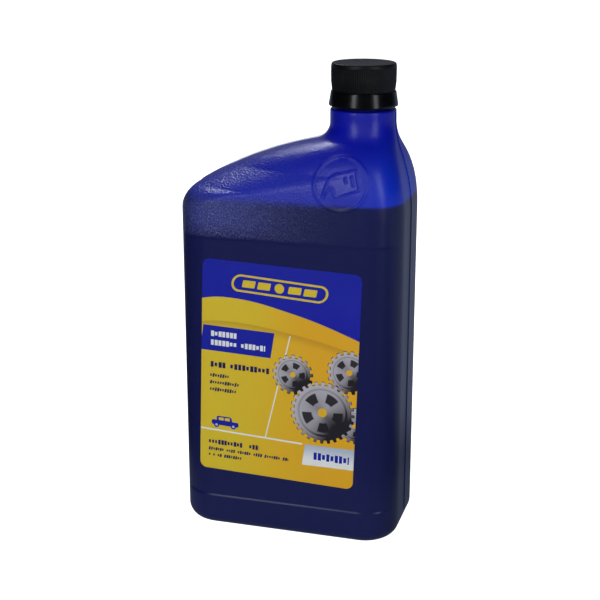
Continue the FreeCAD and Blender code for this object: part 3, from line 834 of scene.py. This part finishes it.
@dataclass
class BlownBottle:
    """The blown bottle: heel, label panel, shoulder, neck and thread finish, in millimetres."""

    half_width: float = 54.0
    half_depth: float = 30.0
    corner: float = 17.0
    heel: float = 7.0
    wall: float = 1.1
    wall_top: float = 159.6
    bend: float = 13.0
    low_angle: float = math.radians(31.5)
    high_angle: float = math.radians(12.0)
    crown_top: float = 184.2
    throat: float = 8.0
    flank_foot: float = 159.2
    face_foot: float = 170.2
    lean_rise: float = 2.6
    lean_share: float = 0.66
    neck_x: float = 30.4
    neck_radius: float = 15.35
    neck_length: float = 6.6
    ledge_rounding: float = 0.9
    panel_foot: float = 16.9
    panel_head: float = 148.1
    panel_depth: float = 0.42
    foot_slope: float = 0.9
    head_slope: float = 0.7
    push_up: float = 4.0
    push_up_inset: float = 11.5
    push_up_slope: float = 8.0
    push_up_corner: float = 8.0
    flash_half: float = 0.7
    flash_rise: float = 0.4
    sign_x: float = 27.4
    sign_z: float = 177.1
    sign_radius: float = 12.5
    sign_line: float = 1.2
    stroke: float = 0.62
    sign_rise: float = 0.55
    sign_edge: float = 0.5
    sign_stretch: float = 1.04
    finish_radius: float = 12.6
    finish_length: float = 18.6
    bore: float = 10.9
    thread_foot: float = 9.9
    thread_turns: float = 1.4
    thread_pitch: float = 4.2
    thread_depth: float = 0.9
    back_points: int = 80
    front_points: int = 150
    sign: tuple[Line, ...] = (
        ((-0.23, 0.33), (0.50, 0.52), (0.68, -0.16), (-0.05, -0.41), (-0.17, -0.44), (-0.35, -0.08)),
        ((-0.23, 0.33), (-0.43, 0.19), (-0.52, -0.08), (-0.65, -0.50)),
        ((-0.35, -0.08), (-0.60, -0.50)),
        ((-0.66, -0.62), (-0.67, -0.66)),
        ((0.36, 0.30), (0.46, -0.04)),
        ((0.14, 0.24), (0.18, 0.08)),
    )

    def __post_init__(self) -> None:
        """Work out the ridge: a corner arc, a long arc and a throat arc that meet at tangents."""
        low, high = self.low_angle, self.high_angle
        self.bend_x = self.bend - self.half_width
        ridge_x = self.bend_x - self.bend * math.sin(low)
        ridge_z = self.wall_top + self.bend * math.cos(low)
        self.throat_x = self.neck_x - self.neck_radius - self.throat
        ridge_end = self.throat_x + self.throat * math.sin(high)
        self.ridge_radius = (ridge_end - ridge_x) / (math.sin(low) - math.sin(high))
        self.ridge_x = ridge_x + self.ridge_radius * math.sin(low)
        self.ridge_z = ridge_z - self.ridge_radius * math.cos(low)
        self.throat_top = self.ridge_z + (self.ridge_radius + self.throat) * math.cos(high)
        self.ledge = self.throat_top + self.neck_length
        upright = math.pi / 2
        self.arcs = ((4, upright, low, self.bend_x, self.wall_top, self.bend),
                     (9, low, high, self.ridge_x, self.ridge_z, self.ridge_radius),
                     (5, high, upright, self.throat_x, self.throat_top, -self.throat))

    def ridge(self, z: float) -> tuple[float, float]:
        """Where the left outline is at a height, along X, and its slope angle there."""
        if z <= self.wall_top:
            return -self.half_width, math.pi / 2
        if z >= self.throat_top:
            return self.neck_x - self.neck_radius, math.pi / 2
        for _, _, end, middle_x, middle_z, radius in self.arcs:
            if z <= middle_z + radius * math.cos(end):
                break
        slope = math.acos((z - middle_z) / radius)
        return middle_x - radius * math.sin(slope), slope

    def lean(self, z: float, start: float, end: float, shift: float) -> float:
        """How far a wall has leaned in at a height: a bulging arc, then a hollow one."""
        if z <= start:
            return 0.0
        if z >= end:
            return shift
        slope = 2 * math.atan(shift / (end - start))
        both = (end - start) / math.sin(slope)
        lower = both * self.lean_share
        upper = both - lower
        if z <= start + lower * math.sin(slope):
            return lower - math.sqrt(lower**2 - (z - start) ** 2)
        return shift - upper + math.sqrt(upper**2 - (end - z) ** 2)

    def recess(self, z: float) -> float:
        """How far the label panels lie back from the broad faces at a height."""
        foot = eased((z - self.panel_foot + self.foot_slope) / (2 * self.foot_slope))
        head = eased((z - self.panel_head + self.head_slope) / (2 * self.head_slope))
        return self.panel_depth * (foot - head)

    def section(self, z: float, inset: float = 0.0) -> Section:
        """The level section at a height, moved in by inset."""
        ridge_x, slope = self.ridge(z)
        lean_end = self.throat_top + self.lean_rise
        flank = self.lean(z, self.flank_foot, lean_end, self.half_width - self.neck_x - self.neck_radius)
        right = self.half_width - flank - inset
        face = self.lean(z, self.face_foot, lean_end, self.half_depth - self.neck_radius)
        depth = self.half_depth - face - inset
        left = ridge_x + inset / math.sin(slope)
        rise = min(1.0, max(0.0, (z - self.wall_top) / (self.throat_top - self.wall_top)))
        plain = min(self.corner + (self.neck_radius - self.corner) * rise - inset, depth)
        crown = plain + (depth - plain) * eased((z - self.wall_top) / (self.crown_top - self.wall_top))
        reach = min(crown / math.sin(slope), right - left - plain)
        return Section(z, left, right, depth, reach, crown, plain)

    def plate(self, z: float, inset: float, corner: float) -> Section:
        """A level rounded rectangle, moved in by inset."""
        width, depth = self.half_width - inset, self.half_depth - inset
        return Section(z, -width, width, depth, corner, corner, corner)

    def circle(self, z: float, radius: float) -> Section:
        """A level circle round the neck's axis."""
        return Section(z, self.neck_x - radius, self.neck_x + radius, radius, radius, radius, radius)

    def outline(self, cut: Section) -> Points:
        """Points round a section, closer at the corners, at the sign and at the parting line.

        Args:
            cut: The section.

        Returns:
            The points' X and Y, counter-clockwise from the right end.
        """
        start, end = cut.right - cut.corner, cut.left + cut.left_reach
        corners = ((0, start, cut.depth - cut.corner, cut.corner, cut.corner),
                   (1, end, cut.depth - cut.left_crown, cut.left_reach, cut.left_crown))
        path = [(cut.right, 0.0, 0.0), (cut.right, cut.depth - cut.corner, 0.0)]
        for left, x, y, reach_x, reach_y in corners:
            if left:
                path += [(start + (end - start) * step / 160, cut.depth, 0.0) for step in range(1, 161)]
            for step in range(1, 41):
                angle = left * math.pi / 2 + step * math.pi / 80
                path.append((x + reach_x * math.cos(angle), y + reach_y * math.sin(angle), math.pi / 80))
        path.append((cut.left, 0.0, 0.0))
        steps = [math.dist(a[:2], b[:2]) for a, b in zip(path, path[1:])]
        total = sum(steps)
        along, length, dense = [0.0], [0.0], [0.0]
        for step, (x, _, turn) in zip(steps, path[1:]):
            weight = 0.72 * step / total + 0.28 * turn / math.pi
            along.append(along[-1] + weight)
            length.append(length[-1] + step)
            off = max(0.0, abs(x - self.sign_x) - self.sign_radius - 1.0)
            dense.append(dense[-1] + weight * (1 + 3.2 * eased(1 - off / 16.0)))
        dense = [place / dense[-1] for place in dense]

        def spot(places: list[float], place: float) -> tuple[float, float]:
            """The point at a place on the path, by one of its measures, moved out onto the true corner."""
            span = min(max(bisect.bisect_left(places, place) - 1, 0), len(places) - 2)
            width = places[span + 1] - places[span]
            share = min(1.0, max(0.0, (place - places[span]) / width)) if width > 0 else 0.0
            a, b = path[span], path[span + 1]
            x, y = a[0] + share * (b[0] - a[0]), a[1] + share * (b[1] - a[1])
            for left, middle_x, middle_y, reach_x, reach_y in corners:
                across, up = (x - middle_x) / reach_x, (y - middle_y) / reach_y
                if (across < 0 if left else across > 0) and up > 0:
                    far = math.hypot(across, up)
                    return middle_x + across / far * reach_x, middle_y + up / far * reach_y
            return x, y

        near = [0.0, 0.16, 0.32, 0.5, 0.7, 1.05]
        first, last = 1.5 / total, 1 - 1.5 / total

        def half(places: list[float], count: int) -> Points:
            """Points from the right end to the left end, at even steps of a measure."""
            line = [spot(length, place) for place in near]
            line += [spot(places, first + (last - first) * index / count) for index in range(count + 1)]
            return line + [spot(length, total - place) for place in reversed(near)]

        front = half(dense, self.front_points)
        return half(along, self.back_points) + [(x, -y) for x, y in reversed(front[1:-1])]

    def heel_row(self, turn: float, wall: float = 0.0) -> Section:
        """The heel's section at an angle of its rounding, or the one inside the wall."""
        inward = wall + (self.heel - wall) * (1 - math.sin(turn))
        return self.plate(wall + (self.heel - wall) * (1 - math.cos(turn)), inward, self.corner - inward)

    def base_row(self, share: float, wall: float = 0.0) -> Section:
        """The push-up's section at a share of its slope, or the one inside the wall."""
        out = self.push_up_inset + self.push_up_slope * (1 - share)
        return self.plate(self.push_up * (1 - eased(share)) + wall, out, self.push_up_corner)

    def outer_rows(self) -> list[Section]:
        """The sections of the outside, from the middle of the base to the rim."""
        rows = [self.plate(self.push_up, self.push_up_inset + self.push_up_slope + 3.0, 6.5)]
        rows += [self.base_row(step / 6) for step in range(7)]
        rows += [self.heel_row(step / 10 * math.pi / 2) for step in range(11)]
        heights = [9.0, 12.0, 14.0]
        heights += [self.panel_foot + self.foot_slope * step / 4 for step in range(-4, 5)]
        heights += [19.0, 21.0] + [26.0 + 6.0 * step for step in range(20)] + [145.0, 146.6]
        heights += [self.panel_head + self.head_slope * share for share in
                    (-1.0, -0.7, -0.4, -0.1, 0.2, 0.5, 0.75, 1.0)]
        heights += [150.5, 152.5, 154.5, 156.5, 158.2]
        return rows + [self.section(z) for z in heights + self.shoulder_heights()]

    def shoulder_heights(self, fineness: int = 4) -> list[float]:
        """Heights up the shoulder and neck, evenly along its ridge."""
        heights = []
        for share, start, end, _, middle, radius in self.arcs:
            count = share * fineness
            heights += [middle + radius * math.cos(start + (end - start) * step / count)
                        for step in range(count)]
        neck = self.ledge - self.ledge_rounding - self.throat_top
        heights += [self.throat_top + neck * step / 5 for step in range(6)]
        if fineness < 4:
            return heights
        foot, head = self.sign_z - self.sign_radius - 1.0, self.sign_z + self.sign_radius + 1.0
        count = round((head - foot) / 0.42)
        fine = [foot + (head - foot) * step / count for step in range(count + 1)]
        return sorted([z for z in heights if z < foot - 0.3 or z > head + 0.3] + fine)

    def finish_rows(self) -> list[Section]:
        """The sections of the ledge, bead, thread cylinder and rim, and down into the bore."""
        ledge, rim, rounding = self.ledge, self.ledge + self.finish_length, self.ledge_rounding
        thread, bore = self.finish_radius, self.bore
        rows = []
        for step in range(1, 7):
            turn = step / 6 * math.pi / 2
            rows.append((self.neck_radius - rounding * (1 - math.cos(turn)),
                         ledge - rounding * (1 - math.sin(turn))))
        rows += [(14.0, ledge), (12.75, ledge), (thread, ledge + 0.15), (thread, ledge + 4.2),
                 (12.65, ledge + 4.4), (13.85, ledge + 4.4), (14.0, ledge + 4.5), (14.0, ledge + 4.85),
                 (13.9, ledge + 5.0), (12.75, ledge + 6.0), (thread, ledge + 6.2), (thread, ledge + 9.0),
                 (thread, ledge + 14.0), (thread, rim - 0.35), (12.5, rim - 0.1), (12.25, rim),
                 (11.25, rim), (11.0, rim - 0.1), (bore, rim - 0.35), (bore, rim - 9.0), (bore, ledge - 1.1)]
        return [self.circle(z, radius) for radius, z in rows]

    def inner_rows(self) -> list[Section]:
        """The sections of the inside, from under the ledge down to the base."""
        wall = self.wall
        heights = [20.0, 40.0, 70.0, 100.0, 130.0, 150.0]
        heights += [z for z in self.shoulder_heights(2) if z < self.ledge - 2 * wall]
        rows = [self.circle(self.ledge - wall - 0.05, self.neck_radius - wall)]
        rows += [self.section(z, wall) for z in reversed(heights)]
        rows += [self.heel_row((1 - step / 5) * math.pi / 2, wall) for step in range(6)]
        return rows + [self.base_row(share, wall) for share in (1.0, 0.6, 0.3, 0.0)]

    def front(self, x: float, z: float) -> float:
        """Where the front surface is, along Y, at a place across and up."""
        cut = self.section(z)
        crown, share = cut.corner, max(0.0, (x - cut.right + cut.corner) / cut.corner)
        if x < cut.left + cut.left_reach:
            crown, share = cut.left_crown, (cut.left + cut.left_reach - x) / cut.left_reach
        return -(cut.depth - crown + crown * math.sqrt(1 - min(1.0, share) ** 2))

    def raised(self, x: float, z: float) -> float:
        """How far the pouring sign stands out at a place on the front."""
        across, up = (x - self.sign_x) / self.sign_stretch, z - self.sign_z
        nearest = abs(math.hypot(across, up) - self.sign_radius + self.sign_line / 2) - self.sign_line / 2
        spot = Vector((across, up)) / self.sign_radius
        for line in self.sign:
            for start, end in zip(line, line[1:]):
                a, b = Vector(start), Vector(end)
                share = min(1.0, max(0.0, (spot - a).dot(b - a) / (b - a).length_squared))
                off = (spot - a - (b - a) * share).length * self.sign_radius - self.stroke / 2
                nearest = min(nearest, off)
        return self.sign_rise * (1 - eased((nearest + self.sign_edge / 2) / self.sign_edge))

    def shaped(self, row: Section, lined: bool) -> list[Vector]:
        """A section's points in metres, with the panel's recess and the parting line's ridge.

        Args:
            row: The section.
            lined: Whether the parting line runs through it.

        Returns:
            The points.
        """
        spots = []
        back = self.recess(row.z) if lined and row.z < self.panel_head + 4 else 0.0
        for x, y in self.outline(row):
            y -= math.copysign(back * eased((abs(y) - 18.0) / 8.0), y)
            if lined and abs(y) < self.flash_half:
                rise = self.flash_rise * (1 - eased(abs(y) / self.flash_half))
                x += rise if x > (row.left + row.right) / 2 else -rise / math.sin(self.ridge(row.z)[1])
            spots.append(Vector((x, y, row.z)) * MM)
        return spots

    def shell(self, bm: bmesh.types.BMesh) -> None:
        """Extrude one ring of vertices through all the sections, outside and then inside."""
        outer, ring, edges = self.outer_rows(), [], []
        for index, row in enumerate(outer + self.finish_rows() + self.inner_rows()):
            spots = self.shaped(row, index < len(outer) and self.heel < row.z < self.ledge - 1.2)
            if not ring:
                ring = [bm.verts.new(spot) for spot in spots]
                edges = [bm.edges.new((a, b)) for a, b in zip(ring, ring[1:] + ring[:1])]
                bm.faces.new(list(reversed(ring)))
                continue
            grown = bmesh.ops.extrude_edge_only(bm, edges=edges)["geom"]
            fresh = {item for item in grown if isinstance(item, bmesh.types.BMVert)}
            ring = [next(edge.other_vert(vert) for edge in vert.link_edges if edge.other_vert(vert) in fresh)
                    for vert in ring]
            for vert, spot in zip(ring, spots):
                vert.co = spot
            edges = [bm.edges.get((a, b)) for a, b in zip(ring, ring[1:] + ring[:1])]
        bm.faces.new(ring)

    def emboss(self, bm: bmesh.types.BMesh) -> None:
        """Raise the pouring sign's lines out of the shoulder."""
        reach = self.sign_radius * self.sign_stretch + self.sign_edge
        for vert in bm.verts:
            x, z = vert.co.x / MM, vert.co.z / MM
            if vert.co.y > -0.008 or math.hypot(x - self.sign_x, z - self.sign_z) > reach:
                continue
            if abs(vert.co.y / MM - self.front(x, z)) < 0.2:
                vert.co.y -= self.raised(x, z) * MM

    def build(self, material: bpy.types.Material) -> None:
        """Build the bottle, with the thread's ridge wound round its finish.

        Args:
            material: Its plastic.
        """
        bm = bmesh.new()
        self.shell(bm)
        bmesh.ops.recalc_face_normals(bm, faces=bm.faces)
        self.emboss(bm)
        root, crest = self.finish_radius - 0.2, self.finish_radius + self.thread_depth
        section = [(root, -0.85), (crest - 0.15, -0.52), (crest, -0.38), (crest, 0.38), (crest - 0.15, 0.52),
                   (root, 0.85)]
        wound_ridge(bm, section, self.ledge + self.thread_foot, self.neck_x, self.thread_pitch,
                    self.thread_turns, root)
        made = finished_mesh("blown_bottle", bm, material, 50.0)
        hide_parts("bottle")
        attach(made, "bottle")


@dataclass
class Closure:
    """The screw cap, its liner, the tamper band left on the neck, and the foil, in millimetres."""

    axis_x: float = 30.4
    ledge: float = 207.65
    rim: float = 226.25
    foil_thickness: float = 0.12
    foil_radius: float = 12.55
    liner_foot: float = 226.42
    liner_top: float = 227.22
    liner_radius: float = 13.5
    cap_foot: float = 215.78
    cap_ceiling: float = 227.27
    cap_head: float = 228.52
    cap_radius: float = 15.1
    cap_bore: float = 13.95
    rib_count: int = 90
    rib_points: int = 8
    groove_depth: float = 0.2
    band_foot: float = 209.05
    band_head: float = 215.65
    band_radius: float = 16.05
    band_top_radius: float = 15.1
    bridge_count: int = 12

    def cap(self, material: bpy.types.Material) -> None:
        """The cap: a turned shell with grip grooves pressed into its skirt, and its thread."""
        head, foot, bore, middle = self.cap_head, self.cap_foot, self.cap_bore, self.axis_x * MM
        skirt = [foot + rise for rise in (0.25, 0.9, 2.2, 3.4, 4.5, 6.5)] + [head - 2.6, head - 2.1]
        outline = [(0.0, self.cap_ceiling), (bore - 0.4, self.cap_ceiling), (bore, self.cap_ceiling - 0.4),
                   (bore, foot + 0.2), (bore + 0.15, foot), (14.45, foot)]
        outline += [(14.6 + 0.5 * min(1.0, (z - foot) / 4.5), z) for z in skirt]
        outline += rounded([(self.cap_radius, head - 1.6), (14.75, head), (12.0, head)], {1: 0.62}, 6)
        outline += [(11.6, head - 0.06), (0.0, head - 0.06)]
        bm = turned(outline, self.axis_x, self.rib_count * self.rib_points, closed=False)
        for vert in bm.verts:
            arm = Vector((vert.co.x - middle, vert.co.y))
            z = vert.co.z / MM
            if arm.length < 14.3 * MM or not foot + 0.1 < z < head - 1.9:
                continue
            turn = math.atan2(arm.y, arm.x) * self.rib_count
            dip = eased((1 + math.cos(turn)) / 2) * self.groove_depth
            dip *= eased((z - foot) / 0.9) * eased((head - 1.7 - z) / 0.7)
            arm *= 1 - dip * MM / arm.length
            vert.co.x, vert.co.y = middle + arm.x, arm.y
        root, crest = bore + 0.2, 12.95
        section = [(root, -0.85), (crest + 0.1, -0.5), (crest, -0.4), (crest, 0.4), (crest + 0.1, 0.5),
                   (root, 0.85)]
        wound_ridge(bm, section, self.ledge + 12.0, self.axis_x, 4.2, 1.2, root)
        piece = finished_mesh("screw_cap", bm, material)
        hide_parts("cap")
        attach(piece, "cap")

    def band(self, material: bpy.types.Material) -> None:
        """The flared tamper band, with its catch and the stumps of its bridges."""
        foot, head, catch = self.band_foot, self.band_head, self.ledge + 4.1
        corners = [(15.25, foot), (self.band_radius, foot), (self.band_radius, foot + 0.8),
                   (self.band_top_radius, head), (14.4, head), (14.4, catch), (13.0, catch),
                   (13.0, self.ledge + 3.4)]
        bm = turned(rounded(corners, {1: 0.3, 2: 0.35, 3: 0.25}, 5), self.axis_x, 144)
        for index in range(self.bridge_count):
            turn = Matrix.Rotation(2 * math.pi * index / self.bridge_count, 4, "Z")
            place = Matrix.Translation((self.axis_x * MM, 0.0, 0.0)) @ turn
            place = place @ Matrix.Translation((14.88 * MM, 0.0, (head - 0.02) * MM))
            block = bmesh.ops.create_cube(bm, size=1.0)["verts"]
            bmesh.ops.scale(bm, vec=(0.44 * MM, 0.8 * MM, 0.2 * MM), verts=block)
            bmesh.ops.transform(bm, matrix=place, verts=block)
        piece = finished_mesh("tamper_ring", bm, material)
        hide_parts("tamper_band")
        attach(piece, "bottle")

    def liner(self, material: bpy.types.Material) -> None:
        """The foam disc, with the ring that the rim has pressed into it."""
        low, high, far = self.liner_foot, self.liner_top, self.liner_radius
        outline = [(0.0, low), (10.6, low), (10.9, low + 0.07), (12.4, low + 0.07), (12.7, low),
                   (far - 0.15, low), (far, low + 0.15), (far, high - 0.15), (far - 0.15, high), (0.0, high)]
        piece = finished_mesh("foam_liner", turned(outline, self.axis_x, 96, closed=False), material)
        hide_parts("cap_liner")
        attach(piece, "liner")

    def foil(self, material: bpy.types.Material) -> None:
        """The foil across the rim, sunk a little inside it."""
        low, high, far = self.rim, self.rim + self.foil_thickness, self.foil_radius
        outline = [(0.0, low - 0.16), (9.6, low - 0.16), (10.8, low), (far, low), (far, high), (10.9, high),
                   (9.7, high - 0.16), (0.0, high - 0.16)]
        piece = finished_mesh("rim_foil", turned(outline, self.axis_x, 96, closed=False), material)
        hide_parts("foil_seal")
        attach(piece, "bottle")


def dress(node: str, material: bpy.types.Material) -> None:
    """Give a solid that stays as it is a material."""
    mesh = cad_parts[node].data
    mesh.materials.clear()
    mesh.materials.append(material)
    LOG.info("dressed %s with %s", node, material.name)


# Studio

@dataclass
class Studio:
    """Camera, lights, floor and surroundings."""

    eye: tuple[float, float, float] = (0.17243, -0.58715, 0.29968)
    target: tuple[float, float, float] = (-0.00012, 0.0, 0.11692)
    lens: float = 78.57
    shift: float = -0.0156

    def hang(self, name: str, data: bpy.types.ID, place: tuple[float, float, float],
             target: tuple[float, float, float]) -> bpy.types.Object:
        """Put a camera or a light at a place, facing a target."""
        made = bpy.data.objects.new(name, data)
        made.location = place
        made.rotation_euler = (Vector(target) - Vector(place)).to_track_quat("-Z", "Y").to_euler()
        bpy.context.scene.collection.objects.link(made)
        return made

    def camera(self) -> None:
        """Set up the camera at the photograph's place."""
        data = bpy.data.cameras.new("camera")
        data.lens = self.lens
        data.sensor_width = 36.0
        data.shift_y = self.shift
        data.clip_start = 0.01
        bpy.context.scene.camera = self.hang("camera", data, self.eye, self.target)

    def softbox(self, name: str, place: tuple[float, float, float], width: float, height: float,
                power: float, mirrored: bool = True, lighting: bool = True) -> None:
        """Hang a rectangular light that faces the bottle.

        Args:
            name: The light's name.
            place: Where it hangs, in metres.
            width: Its width.
            height: Its height.
            power: Its power in watts.
            mirrored: Whether glossy surfaces mirror it.
            lighting: Whether it also lights the plastic's colour.
        """
        data = bpy.data.lights.new(name, "AREA")
        data.shape = "RECTANGLE"
        data.size, data.size_y = width, height
        data.energy = power
        data.color = (0.92, 0.95, 1.0)
        lamp = self.hang(name, data, place, (0.0, 0.0, 0.12))
        lamp.visible_glossy = mirrored
        lamp.visible_diffuse = lighting

    def lights(self) -> None:
        """Hang the softboxes: two upright ones in front, one behind for the sheen, and fills."""
        self.softbox("left_box", (-0.36, -1.15, 0.60), 0.28, 0.95, 2.6)
        self.softbox("right_box", (1.0, -0.66, 0.50), 0.28, 1.1, 2.5)
        self.softbox("sheen_box", (-0.56, 0.65, 1.14), 0.16, 0.16, 4.0, True, False)
        self.softbox("top_fill", (-0.40, 0.30, 1.15), 0.5, 0.5, 3.2, False)
        self.softbox("back_fill", (-0.4, 1.5, 0.6), 2.0, 1.6, 8.0, False)
        self.softbox("front_fill", (0.25, -1.5, 0.7), 2.0, 1.6, 18.5, False)

    def floor(self) -> None:
        """Lay a plain pale floor that mirrors only faintly in the plastic."""
        bm = bmesh.new()
        bmesh.ops.create_grid(bm, x_segments=1, y_segments=1, size=6.0)
        mesh = bpy.data.meshes.new("floor")
        bm.to_mesh(mesh)
        bm.free()
        material = bpy.data.materials.new("floor_paper")
        material.use_nodes = True
        nodes = material.node_tree.nodes
        net = Wiring(material.node_tree)
        path = net.node("LightPath").outputs
        shader = nodes["Principled BSDF"]
        net.fill(shader, {"Base Color": (0.9, 0.9, 0.9, 1.0), "Roughness": 0.9, "Specular IOR Level": 0.0,
                          "Emission Color": WHITE,
                          "Emission Strength": net.between(path["Is Camera Ray"], 0.1, 1.1)})
        behind = net.vector("DOT_PRODUCT", net.place(), (0.35, 0.94, 0.0))
        near = net.between(net.step(net.vector("LENGTH", net.place()), 0.16, 0.08), 0.0, 0.2)
        level = net.math("MAXIMUM", net.between(net.step(behind, 0.05, 0.2), 0.03, 0.36), near)
        dim = net.node("Emission", Color=(0.6, 0.7, 1.0, 1.0), Strength=level)
        pick = net.add("MixShader", {}, {0: path["Is Glossy Ray"], 1: shader.outputs[0], 2: dim.outputs[0]})
        net.feed(nodes["Material Output"].inputs["Surface"], pick.outputs[0])
        mesh.materials.append(material)
        floor = bpy.data.objects.new("floor", mesh)
        bpy.context.scene.collection.objects.link(floor)

    def surroundings(self) -> None:
        """A white studio: bright behind the bottle, dim on the camera's side for reflections."""
        world = bpy.data.worlds.new("studio")
        world.use_nodes = True
        net = Wiring(world.node_tree)
        background = world.node_tree.nodes["Background"].inputs
        path = net.node("LightPath").outputs
        behind = net.vector("DOT_PRODUCT", net.node("TexCoord").outputs["Generated"], (0.0, 1.0, 0.0))
        glow = net.between(net.step(behind, 0.6, 0.97), 0.002, 0.22)
        level = net.between(path["Is Glossy Ray"], 0.045, glow)
        net.feed(background["Strength"], net.between(path["Is Camera Ray"], level, 1.0))
        net.feed(background["Color"], net.blend(path["Is Glossy Ray"], WHITE, (0.72, 0.8, 1.0, 1.0)))
        bpy.context.scene.world = world

    def build(self) -> None:
        """Set up everything round the bottle."""
        self.camera()
        self.lights()
        self.floor()
        self.surroundings()
        bpy.context.scene.view_settings.view_transform = "Standard"


def main() -> None:
    """Build the pieces in order, dress the solids that stay and set up the studio."""
    logging.basicConfig(level=logging.INFO)
    effects = Effects()
    cap_plastic = Moulding("cap_black", ink(9, 9, 11), ink(15, 15, 18), 0.42, 1500.0, 0.0001, 0.4)
    band_plastic = Moulding("band_black", ink(6, 6, 7), ink(10, 10, 12), 0.2, 1200.0, 0.00002, 0.5)
    foam = Moulding("liner_foam", ink(226, 225, 218), ink(206, 204, 196), 0.7, 2400.0, 0.0002, 0.3)
    BlownBottle().build(BluePolyethylene().material(effects))
    closure = Closure()
    closure.cap(cap_plastic.material(effects))
    closure.band(band_plastic.material(effects))
    closure.liner(foam.material(effects))
    closure.foil(Foil().material(effects))
    dress("motor_oil", Oil().material(effects))
    dress("front_label", Print("front_print", Side.FRONT, (-2.2, 83.6), math.radians(1.9)).material(effects))
    dress("back_label", Print("back_print", Side.BACK, (0.0, 83.6), 0.0).material(effects))
    Studio().build()


if __name__ == "__main__":
    main()
